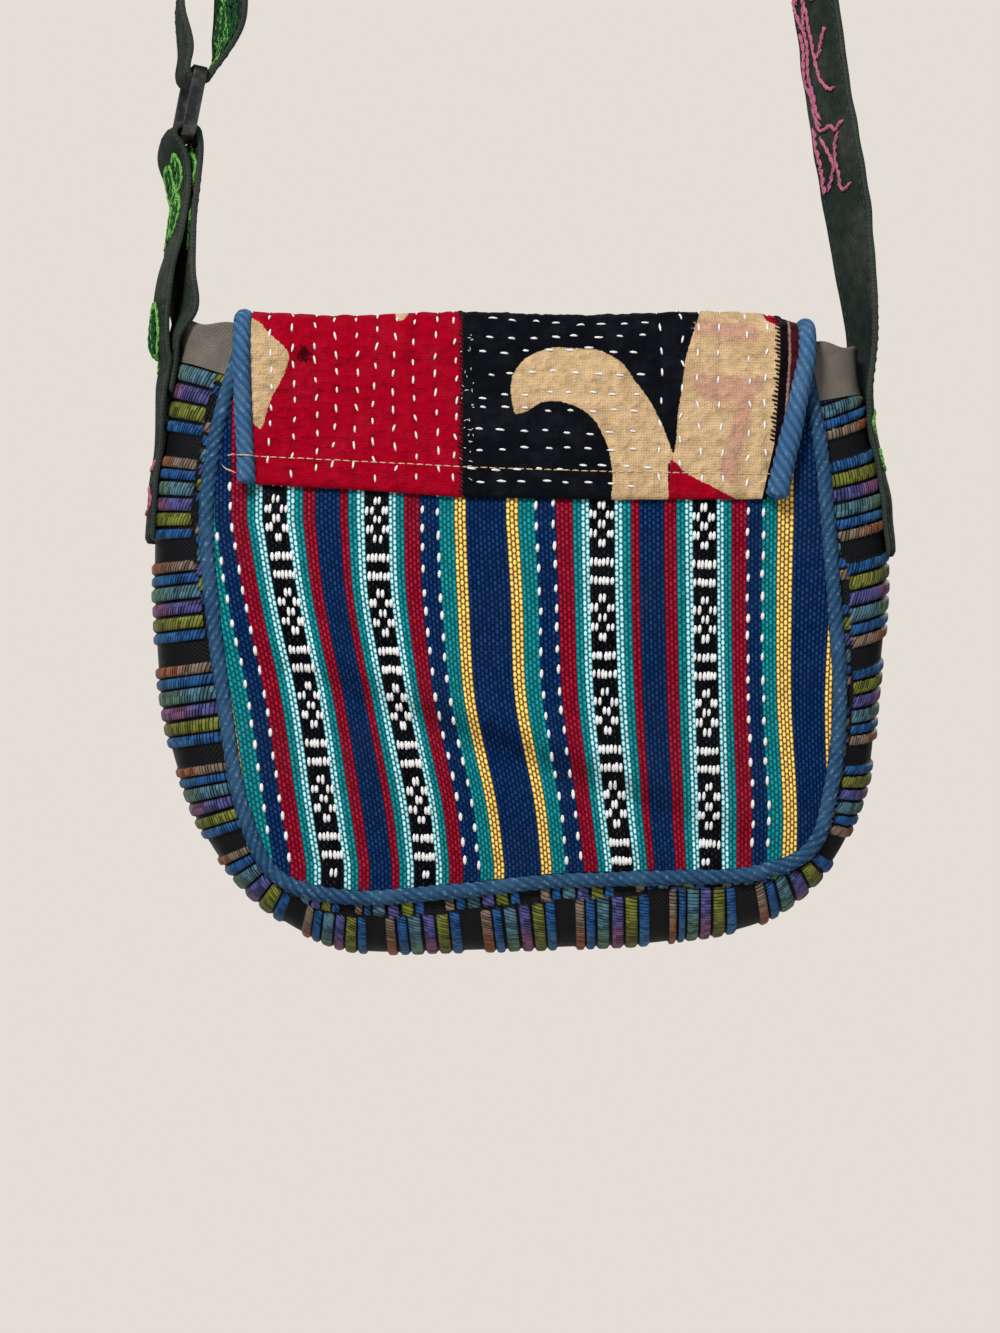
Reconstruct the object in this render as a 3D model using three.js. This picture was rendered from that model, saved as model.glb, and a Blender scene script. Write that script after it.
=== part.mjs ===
import * as THREE from 'three';
import { mergeVertices } from 'three/addons/utils/BufferGeometryUtils.js';

// A soft patchwork crossbody bag that hangs by its strap. Sizes are in millimetres and +Z is up.
// The shown back of the bag faces -Y, and the origin is where the strap rests on its hook.
const HOOK_TO_FOLD = 560;        // from the hook down to the top fold of the flap
const GAP = 0.4;                 // clearance between neighbouring pieces
const PANEL_CLOTH = 2.0;         // woven cloth with its lining
const GUSSET_CLOTH = 2.0;
const HEM_CLOTH = 2.4;           // cloth turned over twice
const QUILT_CLOTH = 2.0;         // layers of the quilted flap
const PIPING_RADIUS = 3.4;
const PIPING_SIDES = 6;
const PIPING_STEPS = 60;
const FLAP_PIPING_RADIUS = 3.2;
const FLAP_PIPING_STEPS = 78;

// The bag is deepest below the flap and is drawn together at the mouth.
const DEEP_HALF = 17;
const MOUTH_PINCH = 9;
const PINCH_LENGTH = 32;
const BELLY = 4.5;               // how far the middle of a panel swells out
const BELLY_HALF_WIDTH = 108;
const BELLY_TOP = 8;
const BELLY_HEIGHT = 190;
const PANEL_PROUD = 0.7;         // a panel's face lies this far outside the middle of its piping
const PANEL_COLUMNS = 14;
const PANEL_ROWS = 11;
const MOUTH_LOWERED = 4;         // panels and piping end this far below the mouth, under the flap

// The sewn edge of a panel, from the left end of the mouth round to the right end:
// x across, drop below the flap's fold, and how far the gusset bulges out past the edge.
const SEAM = [
  { at: 'left mouth', x: -95.0, drop: 8.0, flare: 22.5 },
  { at: 'left shoulder', x: -103.5, drop: 37.0, flare: 19.7 },
  { at: 'left waist', x: -107.6, drop: 69.0, flare: 19.9 },
  { at: 'left hip', x: -105.2, drop: 103.0, flare: 22.5 },
  { at: 'left thigh', x: -100.8, drop: 137.0, flare: 23.5 },
  { at: 'left knee', x: -95.3, drop: 168.0, flare: 18.8 },
  { at: 'left corner', x: -84.0, drop: 191.0, flare: 13.5 },
  { at: 'left foot', x: -60.0, drop: 198.4, flare: 20.0 },
  { at: 'bottom left', x: -27.0, drop: 196.8, flare: 22.5 },
  { at: 'bottom right', x: 10.0, drop: 193.0, flare: 25.2 },
  { at: 'right foot', x: 47.0, drop: 191.8, flare: 24.5 },
  { at: 'right toe', x: 78.0, drop: 190.5, flare: 19.5 },
  { at: 'right corner', x: 97.5, drop: 182.0, flare: 11.5 },
  { at: 'right knee', x: 104.8, drop: 160.0, flare: 14.5 },
  { at: 'right thigh', x: 107.6, drop: 131.0, flare: 15.5 },
  { at: 'right hip', x: 105.8, drop: 100.0, flare: 20.5 },
  { at: 'right waist', x: 103.5, drop: 70.0, flare: 22.0 },
  { at: 'right shoulder', x: 101.0, drop: 44.0, flare: 19.8 },
  { at: 'right mouth', x: 95.0, drop: 11.0, flare: 18.5 },
];

// Soft creases of the shown panel: a line from x at the flap's edge, leaning as it drops.
const CREASES = [
  { x: -78, lean: 0.32, halfWidth: 13, height: 1.3, from: 66, to: 180 },
  { x: -30, lean: 0.26, halfWidth: 17, height: -1.2, from: 70, to: 190 },
  { x: 22, lean: 0.16, halfWidth: 15, height: 1.2, from: 66, to: 185 },
  { x: 66, lean: 0.05, halfWidth: 13, height: -1.0, from: 66, to: 176 },
];

// One repeat of the gusset's raised thread ribs, from the left mouth onwards. Flat bands lie between them.
const RIBS = [
  { thread: 'teal', width: 5.6, raised: 1.2 },
  { thread: 'violet', width: 5.0, raised: 1.2 },
  { thread: 'olive', width: 5.2, raised: 1.2 },
  { thread: 'blue', width: 4.1, raised: 1.2 },
  { thread: 'black', width: 7.0, raised: 0.0 },
  { thread: 'brown', width: 4.2, raised: 1.2 },
  { thread: 'blue', width: 3.9, raised: 1.2 },
];
const RIB_HEIGHT = 1.2;
const GUSSET_ACROSS = [0, 0.2, 0.5, 0.8, 1];     // shares of the way from the front seam to the back
const GUSSET_SQUARENESS = 0.8;
const GUSSET_SET_IN = 1;                         // the gusset starts this far behind the piping's middle
const SEAM_MARGIN = PIPING_RADIUS + GAP + 0.2;
const HEM_RISE = 4;
const HEM_LENGTH_LEFT = 14;
const HEM_LENGTH_RIGHT = 17;
const HEM_CLEAR_OF_FLAP = 3;                     // the hems' top corners stand off the flap's piping
const HEM_ROWS = 4;

// The flap is sewn to the back, folds over the mouth and hangs down the front.
const FLAP_SEWN_DROP = 60;
const FLAP_SEWN_SLOPE = 0.02;                    // its sewn edge runs down to the right
const FLAP_SPRING = 16;                          // below this drop the flap lies along the panels
const FLAP_CREST = -0.6;
const FLAP_WAVE = 0.6;
const FLAP_SQUARENESS = 0.77;
const FLAP_EDGE_DEPTH = 20.4;                    // its piping rides over the panels' piping
const FLAP_EDGE_WIDTH = 24;
const FLAP_END_DROP = 165;
const FLAP_CORNER = 40;
const FLAP_SIDES = [
  { along: 'sewn edge', drop: 60, side: -1, left: -93.6, right: 87.8, strip: 82.4 },
  { along: 'back', drop: 38, side: -1, left: -94.6, right: 92.0, strip: 85.2 },
  { along: 'back spring', drop: 16, side: -1, left: -95.4, right: 95.6, strip: 86.6 },
  { along: 'front spring', drop: 16, side: 1, left: -95.9, right: 96.6, strip: 87.0 },
  { along: 'front', drop: 90, side: 1, left: -94.5, right: 95.0, strip: 87.0 },
  { along: 'front end', drop: 165, side: 1, left: -93.0, right: 93.5, strip: 87.0 },
];
const FLAP_CLEAR = 0.7;                          // the flap stands off the panels by this much
const PATCH_GAP = 0.6;
const RED_SEAM = -20.4;
const STRIP_NARROWEST = 1.6;
const STRIP_END_DROP = 145;                      // the dark strip runs out at the flap's rounded corner
const BACK_DROPS = [60, 49, 38, 27];
const ARCH_STEPS = 10;
const FRONT_DROPS = [34, 58, 84, 106];
const CORNER_STEPS = 4;

// The strap and its hardware.
const STRAP_CLOTH = 2.4;
const STRAP_ACROSS = [-1, -0.4, 0.4, 1];
const SEWN_SHARE = 0.2;                          // half the strap's share of the gusset's width
const SEWN_LIFT = RIB_HEIGHT + 2 * GAP + STRAP_CLOTH / 2;
const OVERLAP_LIFT = SEWN_LIFT + STRAP_CLOTH + 2 * GAP;
const RING_STRIP = 4.5;
const RING_THICK = 2;
const RING_TALL = 25;
const RING_WIDE = 31;
const RING_CORNER = 4;
const RING = { x: -115.4, z: -486.6, tilt: 11, turn: 15, width: 25 };
const SLIDER_THICK = 2;
const SLIDER_BAR = 3;
const SLIDER_TALL = 30;
const SLIDER_WIDE = 34;
const SLIDER = { x: -103.2, z: -372, tilt: 10.2, turn: 4, width: 26 };

// The strap goes round a bar of the ring: inner is across the bar, past is beyond it.
const ROUND_THE_BAR = [
  { inner: -4.6, past: -7.0 },
  { inner: -4.4, past: 0.0 },
  { inner: -3.1, past: 2.7 },
  { inner: 0.0, past: 3.7 },
  { inner: 3.1, past: 2.7 },
  { inner: 4.4, past: 0.0 },
  { inner: 4.6, past: -7.0 },
];
// The strap weaves through the slider, and its end is turned round the slider's middle bar.
const THROUGH_SLIDER = [
  { inner: 3.0, down: -19 },
  { inner: 3.3, down: -12.4 },
  { inner: 0.2, down: -8.9 },
  { inner: -6.8, down: -2.8 },
  { inner: -6.8, down: 2.8 },
  { inner: 0.2, down: 8.9 },
  { inner: 3.3, down: 12.4 },
  { inner: 3.0, down: 19 },
];
const ROUND_MIDDLE_BAR = [
  { inner: 9.0, down: 26 },
  { inner: 6.8, down: 13 },
  { inner: 5.0, down: 5 },
  { inner: 3.2, down: -0.8 },
  { inner: 2.2, down: -3.3 },
  { inner: 0.0, down: -4.2 },
  { inner: -2.2, down: -3.2 },
  { inner: -2.9, down: 1.0 },
];
// Free stretches of strap: the middle of its width, the turn of its front edge to the right,
// its width, and how far its edges curl towards the bag.
const STRAP_UP = [
  { x: 119.0, z: -568, turn: 8, width: 27, curl: 4 },
  { x: 116.6, z: -545, turn: 20, width: 28, curl: 2 },
  { x: 112.6, z: -520, turn: 26, width: 28, curl: 1 },
  { x: 107.2, z: -489, turn: 25, width: 28, curl: 1 },
  { x: 101.0, z: -450, turn: 24, width: 28, curl: 0 },
  { x: 87.0, z: -350, turn: 19, width: 28, curl: 0 },
  { x: 71.3, z: -238, turn: 12, width: 28, curl: 0 },
  { x: 57.0, z: -135, turn: 5, width: 28, curl: 0 },
  { x: 46.5, z: -62, turn: 0, width: 28, curl: 0 },
  { x: 37.0, z: -23, turn: 0, width: 28, curl: 0 },
  { x: 20.0, z: -4.4, turn: 0, width: 28, curl: 0 },
  { x: 0.0, z: 1.2, turn: 0, width: 28, curl: 0 },
  { x: -20.0, z: -4.4, turn: 0, width: 28, curl: 0 },
  { x: -37.0, z: -23, turn: 0, width: 28, curl: 0 },
  { x: -46.5, z: -62, turn: 0, width: 28, curl: 0 },
  { x: -60.5, z: -140, turn: 0, width: 28, curl: 0 },
  { x: -80.5, z: -250, turn: 2, width: 28, curl: 0 },
  { x: -95.5, z: -333, turn: 4, width: 27, curl: 0 },
];
const STRAP_TO_RING = [
  { x: -114.0, z: -428, turn: 4, width: 28, curl: 0 },
  { x: -118.6, z: -455, turn: 6, width: 27, curl: 0 },
];
const STRAP_FROM_RING = [
  { x: -105.2, z: -455, turn: 20, width: 27, curl: 0 },
  { x: -100.8, z: -428, turn: 18, width: 28, curl: 0 },
];
const TAB_UP = [
  { x: -127.5, z: -572, turn: 3, width: 27, curl: -4 },
  { x: -128.4, z: -558, turn: 3, width: 27, curl: -3 },
  { x: -126.6, z: -545, turn: 3, width: 27, curl: -2 },
  { x: -122.9, z: -531, turn: 5, width: 26, curl: -1 },
  { x: -120.4, z: -516, turn: 11, width: 24, curl: -1 },
];
const TAB_DOWN = [
  { x: -116.0, z: -516, turn: 14, width: 24, curl: 1 },
  { x: -117.2, z: -531, turn: 14, width: 25, curl: 1 },
  { x: -120.0, z: -545, turn: 13, width: 26, curl: 0 },
  { x: -121.8, z: -558, turn: 8, width: 27, curl: -2 },
];

const clamp = THREE.MathUtils.clamp;
const lerp = THREE.MathUtils.lerp;
const radians = THREE.MathUtils.degToRad;
const inPlace = (x, depth, drop) => new THREE.Vector3(x, depth, -HOOK_TO_FOLD - drop);

// Closed walls from a grid of points. The outside faces along rows x columns.
function gridNormal(grid, i, j) {
  const above = grid[Math.max(i - 1, 0)][j];
  const below = grid[Math.min(i + 1, grid.length - 1)][j];
  const before = grid[i][Math.max(j - 1, 0)];
  const after = grid[i][Math.min(j + 1, grid[0].length - 1)];
  const along = below.clone().sub(above);
  const across = after.clone().sub(before);
  return along.cross(across).normalize();
}

function wall(grid, outside, inside) {
  const rows = grid.length;
  const columns = grid[0].length;
  const points = [];
  const outer = (i, j) => i * columns + j;
  const inner = (i, j) => rows * columns + outer(i, j);
  for (const way of [1, -1]) {
    for (let i = 0; i < rows; i += 1) {
      for (let j = 0; j < columns; j += 1) {
        const offset = way > 0 ? outside(i, j) : -inside;
        points.push(...grid[i][j].clone().addScaledVector(gridNormal(grid, i, j), offset).toArray());
      }
    }
  }
  const faces = [];
  const quad = (a, b, c, d) => faces.push(a, b, c, a, c, d);
  for (let i = 0; i < rows - 1; i += 1) {
    for (let j = 0; j < columns - 1; j += 1) {
      quad(outer(i, j), outer(i + 1, j), outer(i + 1, j + 1), outer(i, j + 1));
      quad(inner(i, j), inner(i, j + 1), inner(i + 1, j + 1), inner(i + 1, j));
    }
  }
  const lastRow = rows - 1;
  const lastColumn = columns - 1;
  for (let j = 0; j < lastColumn; j += 1) {
    quad(outer(0, j), outer(0, j + 1), inner(0, j + 1), inner(0, j));
    quad(outer(lastRow, j + 1), outer(lastRow, j), inner(lastRow, j), inner(lastRow, j + 1));
  }
  for (let i = 0; i < lastRow; i += 1) {
    quad(outer(i + 1, 0), outer(i, 0), inner(i, 0), inner(i + 1, 0));
    quad(outer(i, lastColumn), outer(i + 1, lastColumn), inner(i + 1, lastColumn), inner(i, lastColumn));
  }
  const geometry = new THREE.BufferGeometry();
  geometry.setAttribute('position', new THREE.Float32BufferAttribute(points, 3));
  geometry.setIndex(faces);
  return geometry;
}

function cord(path, radius, sides, steps) {
  const section = new THREE.Shape();
  for (let k = 0; k < sides; k += 1) {
    const angle = (2 * Math.PI * k) / sides;
    const way = k === 0 ? 'moveTo' : 'lineTo';
    section[way](radius * Math.cos(angle), radius * Math.sin(angle));
  }
  section.closePath();
  return new THREE.ExtrudeGeometry(section, { steps, extrudePath: path, bevelEnabled: false });
}

function smoothed(rows, stepsPerRow) {
  const columns = rows[0].map((_, j) => {
    const line = new THREE.CatmullRomCurve3(rows.map((row) => row[j]), false, 'centripetal');
    return line.getPoints((rows.length - 1) * stepsPerRow);
  });
  return columns[0].map((_, i) => columns.map((line) => line[i]));
}

// The seam line and the depth of the bag.
const SEAM_FINENESS = 40;
const seamCurve = new THREE.CatmullRomCurve3(
  SEAM.map((row) => new THREE.Vector3(row.x, 0, -row.drop)), false, 'catmullrom', 0.5);
const flareCurve = new THREE.CatmullRomCurve3(
  SEAM.map((row) => new THREE.Vector3(row.flare, 0, 0)), false, 'catmullrom', 0.5);
seamCurve.arcLengthDivisions = (SEAM.length - 1) * SEAM_FINENESS;
const seamLengths = seamCurve.getLengths();
const seamLength = seamCurve.getLength();

function seamTo(name) {
  const row = SEAM.findIndex((entry) => entry.at === name);
  return seamLengths[row * SEAM_FINENESS];
}

function seamAt(s) {
  const share = clamp(s / seamLength, 0, 1);
  const tangent = seamCurve.getTangentAt(share);
  const place = seamCurve.getPointAt(share).addScaledVector(tangent, s - share * seamLength);
  const flare = flareCurve.getPoint(seamCurve.getUtoTmapping(share)).x;
  return { x: place.x, drop: -place.z, outX: tangent.z, outZ: -tangent.x, flare };
}

function halfDepth(drop) {
  return DEEP_HALF - MOUTH_PINCH * Math.exp(-drop / PINCH_LENGTH);
}

function belly(x, drop) {
  const across = Math.max(0, 1 - (x / BELLY_HALF_WIDTH) ** 2);
  const down = Math.sin(Math.PI * clamp((drop - BELLY_TOP) / BELLY_HEIGHT, 0, 1));
  return BELLY * across * down;
}

function creases(x, drop) {
  let height = 0;
  for (const crease of CREASES) {
    const away = (x - crease.x - crease.lean * (drop - crease.from)) / crease.halfWidth;
    const run = clamp((drop - crease.from) / (crease.to - crease.from), 0, 1);
    height += crease.height * Math.exp(-away * away) * Math.sin(Math.PI * run);
  }
  return height;
}

function panelFace(x, drop) {
  return halfDepth(drop) + PANEL_PROUD + belly(x, drop);
}

// Panels: a patch between the mouth, both side seams and the bottom seam.
function panelPlace(across, down) {
  const inset = (s) => {
    const seam = seamAt(s);
    const margin = PIPING_RADIUS + GAP;
    return new THREE.Vector2(seam.x - seam.outX * margin, seam.drop + seam.outZ * margin);
  };
  const leftCorner = seamTo('left corner');
  const rightCorner = seamTo('right corner');
  const top = MOUTH_LOWERED;
  const end = seamLength - MOUTH_LOWERED;
  const left = inset(lerp(top, leftCorner, down));
  const right = inset(lerp(end, rightCorner, down));
  const bottom = inset(lerp(leftCorner, rightCorner, across));
  const mouth = inset(top).lerp(inset(end), across);
  const corners = inset(top).lerp(inset(end), across);
  corners.lerp(inset(leftCorner).lerp(inset(rightCorner), across), down);
  return left.lerp(right, across).add(mouth.lerp(bottom, down)).sub(corners);
}

function panel(side) {
  const grid = [];
  for (let i = 0; i <= PANEL_ROWS; i += 1) {
    const row = [];
    for (let j = 0; j <= PANEL_COLUMNS; j += 1) {
      const across = side < 0 ? j / PANEL_COLUMNS : 1 - j / PANEL_COLUMNS;
      const place = panelPlace(across, i / PANEL_ROWS);
      const folds = side < 0 ? creases(place.x, place.y) : 0;
      row.push(inPlace(place.x, side * (panelFace(place.x, place.y) + folds), place.y));
    }
    grid.push(row);
  }
  return wall(grid, () => 0, PANEL_CLOTH);
}

function panelPiping(side) {
  const points = [];
  for (let k = 0; k <= PIPING_STEPS; k += 1) {
    const seam = seamAt(lerp(MOUTH_LOWERED, seamLength - MOUTH_LOWERED, k / PIPING_STEPS));
    points.push(inPlace(seam.x, side * halfDepth(seam.drop), seam.drop));
  }
  const path = new THREE.CatmullRomCurve3(points, false, 'centripetal');
  return cord(path, PIPING_RADIUS, PIPING_SIDES, PIPING_STEPS);
}

// Gusset: a bulging band from the front seam to the back seam, with raised ribs across it.
function gussetPoint(s, share, start) {
  const seam = seamAt(s);
  const angle = Math.PI * share;
  const bulge = Math.max(0, Math.sin(angle)) ** GUSSET_SQUARENESS;
  const back = Math.sign(Math.cos(angle)) * Math.abs(Math.cos(angle)) ** GUSSET_SQUARENESS;
  const out = start + (seam.flare - RIB_HEIGHT - start) * bulge;
  const place = inPlace(seam.x + seam.outX * out, (halfDepth(seam.drop) - GUSSET_SET_IN) * back, seam.drop);
  place.z += seam.outZ * out;
  return place;
}

function ribStations(from, to) {
  const stations = [];
  let s = from;
  let k = 0;
  while (s < to - RIBS[k].width / 2) {
    const rib = RIBS[k];
    stations.push({ s, raised: 0 });
    if (rib.raised > 0) {
      stations.push({ s: Math.min(s + rib.width / 2, to - 1), raised: rib.raised });
    }
    s += rib.width;
    k = (k + 1) % RIBS.length;
  }
  stations.push({ s: to, raised: 0 });
  return stations;
}

function gusset() {
  const stations = ribStations(HEM_LENGTH_LEFT, seamLength - HEM_LENGTH_RIGHT);
  const grid = stations.map(({ s }) => GUSSET_ACROSS.map((share) => gussetPoint(s, share, SEAM_MARGIN)));
  return wall(grid, (i) => stations[i].raised, GUSSET_CLOTH);
}

function gussetHem(from, to, topFirst) {
  const grid = [];
  for (let i = 0; i <= HEM_ROWS; i += 1) {
    const run = i / HEM_ROWS;
    const toTop = topFirst ? 1 - run : run;
    const start = SEAM_MARGIN + HEM_CLEAR_OF_FLAP * toTop;
    grid.push(GUSSET_ACROSS.map((share) => gussetPoint(lerp(from, to, run), share, start)));
  }
  return wall(grid, () => RIB_HEIGHT / 2, HEM_CLOTH - RIB_HEIGHT / 2);
}

// Flap: rows run from the sewn edge up the back, over the mouth and down the front.
function flapRows() {
  const rows = BACK_DROPS.map((drop) => ({ drop, angle: 0 }));
  for (let k = 0; k <= ARCH_STEPS; k += 1) {
    rows.push({ drop: FLAP_SPRING, angle: (Math.PI * k) / ARCH_STEPS });
  }
  FRONT_DROPS.forEach((drop) => rows.push({ drop, angle: Math.PI }));
  for (let k = 0; k <= CORNER_STEPS; k += 1) {
    const turn = (Math.PI / 2) * (k / CORNER_STEPS);
    rows.push({ drop: FLAP_END_DROP - FLAP_CORNER * (1 - Math.sin(turn)), angle: Math.PI });
  }
  return rows;
}

function flapSide(row, name) {
  const onBack = row.angle < Math.PI / 2;
  const known = FLAP_SIDES.filter((entry) => (onBack ? entry.side < 0 : entry.side > 0));
  known.sort((a, b) => a.drop - b.drop);
  const upper = known.findLast((entry) => entry.drop <= row.drop) ?? known[0];
  const lower = known.find((entry) => entry.drop > row.drop) ?? known[known.length - 1];
  const span = lower.drop - upper.drop;
  const value = lerp(upper[name], lower[name], span > 0 ? (row.drop - upper.drop) / span : 0);
  if (onBack || row.drop > FLAP_SPRING) {
    return value;
  }
  const overTop = row.angle / Math.PI;
  return lerp(FLAP_SIDES[2][name], FLAP_SIDES[3][name], overTop);
}

function cornerInset(drop, radius) {
  const past = clamp((drop - (FLAP_END_DROP - FLAP_CORNER)) / FLAP_CORNER, 0, 1);
  return radius * (1 - Math.sqrt(1 - past * past));
}

function archShare(angle) {
  const back = Math.sign(Math.cos(angle)) * Math.abs(Math.cos(angle)) ** FLAP_SQUARENESS;
  const rise = Math.max(0, Math.sin(angle)) ** FLAP_SQUARENESS;
  return { back, rise: rise < 0.001 ? 0 : rise };
}

function flapPoint(row, x, left, right) {
  const flat = panelFace(x, row.drop) + FLAP_CLEAR + QUILT_CLOTH / 2;
  const lifted = Math.max(flat, FLAP_EDGE_DEPTH - FLAP_PIPING_RADIUS / 2);
  const edge = clamp(1 - Math.min(x - left, right - x) / FLAP_EDGE_WIDTH, 0, 1);
  const reach = lerp(flat, lifted, edge * edge * (3 - 2 * edge));
  const { back, rise } = archShare(row.angle);
  const crest = FLAP_CREST + FLAP_WAVE * Math.sin(x / 13);
  const slope = row.angle === 0 ? FLAP_SEWN_SLOPE * x * (row.drop / FLAP_SEWN_DROP) : 0;
  return inPlace(x, -reach * back, row.drop - (FLAP_SPRING - crest) * rise + slope);
}

function flapPatch(rows, from, to, columns) {
  const margin = FLAP_PIPING_RADIUS + GAP;
  const grid = rows.map((row) => {
    const inset = row.angle === Math.PI ? cornerInset(row.drop, FLAP_CORNER) : 0;
    const left = flapSide(row, 'left') + margin + inset;
    const right = flapSide(row, 'right') - margin - inset;
    const start = from(row, left, right);
    const end = to(row, left, right);
    const points = [];
    for (let j = 0; j <= columns; j += 1) {
      points.push(flapPoint(row, lerp(end, start, j / columns), left, right));
    }
    return points;
  });
  return wall(grid, () => QUILT_CLOTH / 2, QUILT_CLOTH / 2);
}

function stripSeam(row, right) {
  return Math.min(flapSide(row, 'strip'), right - STRIP_NARROWEST);
}

function printEdge(row, right) {
  return row.drop < STRIP_END_DROP ? stripSeam(row, right) - PATCH_GAP / 2 : right;
}

function flapPiping() {
  const margin = FLAP_PIPING_RADIUS + GAP;
  const side = (name) => flapRows().filter((row) => row.drop <= FLAP_END_DROP - FLAP_CORNER).map((row) => {
    const x = flapSide(row, name);
    const reach = Math.max(FLAP_EDGE_DEPTH, panelFace(x, row.drop) + FLAP_CLEAR + FLAP_PIPING_RADIUS);
    const { back, rise } = archShare(row.angle);
    const slope = row.angle === 0 ? FLAP_SEWN_SLOPE * x * (row.drop / FLAP_SEWN_DROP) : 0;
    return inPlace(x, -reach * back, row.drop - (FLAP_SPRING - FLAP_CREST - 1) * rise + slope);
  });
  const corner = (name, way) => {
    const points = [];
    const start = { drop: FLAP_END_DROP, angle: Math.PI };
    const middle = flapSide(start, name) - way * (margin + FLAP_CORNER);
    for (let k = 1; k <= CORNER_STEPS; k += 1) {
      const turn = (Math.PI / 2) * (k / CORNER_STEPS);
      const x = middle + way * (FLAP_CORNER + margin) * Math.cos(turn) + way * margin * (1 - Math.sin(turn));
      const drop = FLAP_END_DROP - FLAP_CORNER + (FLAP_CORNER + margin) * Math.sin(turn);
      points.push(inPlace(x, panelFace(x, drop) + FLAP_CLEAR + FLAP_PIPING_RADIUS, drop));
    }
    return points;
  };
  const points = [
    ...side('left'),
    ...corner('left', -1),
    ...corner('right', 1).reverse(),
    ...side('right').reverse(),
  ];
  const path = new THREE.CatmullRomCurve3(points, false, 'centripetal');
  return cord(path, FLAP_PIPING_RADIUS, PIPING_SIDES, FLAP_PIPING_STEPS);
}

// Strap: rows of points across its width.
function overGusset(s, lift) {
  return STRAP_ACROSS.map((k) => {
    const share = 0.5 + k * SEWN_SHARE;
    const here = gussetPoint(s, share, SEAM_MARGIN);
    const along = gussetPoint(s + 1, share, SEAM_MARGIN).sub(here);
    const across = gussetPoint(s, share + 0.01, SEAM_MARGIN).sub(here);
    return here.addScaledVector(along.cross(across).normalize(), lift);
  });
}

function freeRow(row) {
  const turn = radians(row.turn);
  return STRAP_ACROSS.map((k) => {
    const half = (k * row.width) / 2;
    const curl = row.curl * k * k;
    return new THREE.Vector3(
      row.x + half * Math.sin(turn) - curl * Math.cos(turn),
      -half * Math.cos(turn) - curl * Math.sin(turn),
      row.z);
  });
}

function hardwareFrame(piece) {
  const tilt = radians(piece.tilt);
  const turn = radians(piece.turn);
  const down = new THREE.Vector3(-Math.sin(tilt), 0, -Math.cos(tilt));
  const inner = new THREE.Vector3(Math.sin(turn), -Math.cos(turn), 0).cross(down).normalize();
  const front = down.clone().cross(inner);
  return { centre: new THREE.Vector3(piece.x, 0, piece.z), down, inner, front, width: piece.width };
}

function hardwareRow(frame, inner, down) {
  return STRAP_ACROSS.map((k) => frame.centre.clone()
    .addScaledVector(frame.inner, inner)
    .addScaledVector(frame.down, down)
    .addScaledVector(frame.front, (k * frame.width) / 2));
}

function strap() {
  const ring = hardwareFrame(RING);
  const slider = hardwareFrame(SLIDER);
  const topBar = -(RING_TALL - RING_THICK) / 2;
  const low = seamTo('right waist') - 14;
  const high = seamTo('right shoulder') + 20;
  const rows = [];
  for (let k = 0; k <= 4; k += 1) {
    rows.push(overGusset(lerp(low, high, k / 4), SEWN_LIFT));
  }
  STRAP_UP.forEach((row) => rows.push(freeRow(row)));
  THROUGH_SLIDER.forEach((row) => rows.push(hardwareRow(slider, row.inner, row.down)));
  STRAP_TO_RING.forEach((row) => rows.push(freeRow(row)));
  ROUND_THE_BAR.forEach((row) => rows.push(hardwareRow(ring, row.inner, topBar + row.past)));
  STRAP_FROM_RING.forEach((row) => rows.push(freeRow(row)));
  ROUND_MIDDLE_BAR.forEach((row) => rows.push(hardwareRow(slider, row.inner, row.down)));
  return wall(smoothed(rows, 2), () => STRAP_CLOTH / 2, STRAP_CLOTH / 2);
}

function strapTab() {
  const ring = hardwareFrame(RING);
  const bottomBar = (RING_TALL - RING_THICK) / 2;
  const low = seamTo('left waist') + 8;
  const high = seamTo('left shoulder');
  const rows = [];
  for (let k = 0; k <= 3; k += 1) {
    rows.push(overGusset(lerp(low, high + 14, k / 3), SEWN_LIFT));
  }
  rows.push(overGusset(high - 6, OVERLAP_LIFT));
  rows.push(overGusset(high - 16, OVERLAP_LIFT + 1));
  TAB_UP.forEach((row) => rows.push(freeRow(row)));
  ROUND_THE_BAR.forEach((row) => rows.push(hardwareRow(ring, row.inner, bottomBar - row.past)));
  TAB_DOWN.forEach((row) => rows.push(freeRow(row)));
  rows.push(overGusset(6, SEWN_LIFT));
  rows.push(overGusset(14, SEWN_LIFT));
  rows.push(overGusset(high - 6, SEWN_LIFT));
  return wall(smoothed(rows, 2), () => STRAP_CLOTH / 2, STRAP_CLOTH / 2);
}

// Hardware: frames of flat metal, drawn in their own plane and set along the strap.
function roundedRectangle(path, width, height, corner, middle) {
  const x = width / 2;
  const low = middle - height / 2;
  const high = middle + height / 2;
  path.moveTo(-x + corner, low);
  path.lineTo(x - corner, low);
  path.absarc(x - corner, low + corner, corner, -Math.PI / 2, 0, false);
  path.lineTo(x, high - corner);
  path.absarc(x - corner, high - corner, corner, 0, Math.PI / 2, false);
  path.lineTo(-x + corner, high);
  path.absarc(-x + corner, high - corner, corner, Math.PI / 2, Math.PI, false);
  path.lineTo(-x, low + corner);
  path.absarc(-x + corner, low + corner, corner, Math.PI, 1.5 * Math.PI, false);
  return path;
}

function setInFrame(geometry, piece, thick) {
  const frame = hardwareFrame(piece);
  const place = new THREE.Matrix4().makeBasis(frame.front, frame.down, frame.front.clone().cross(frame.down));
  place.setPosition(frame.centre);
  geometry.translate(0, 0, -thick / 2);
  geometry.applyMatrix4(place);
  return geometry;
}

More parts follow.
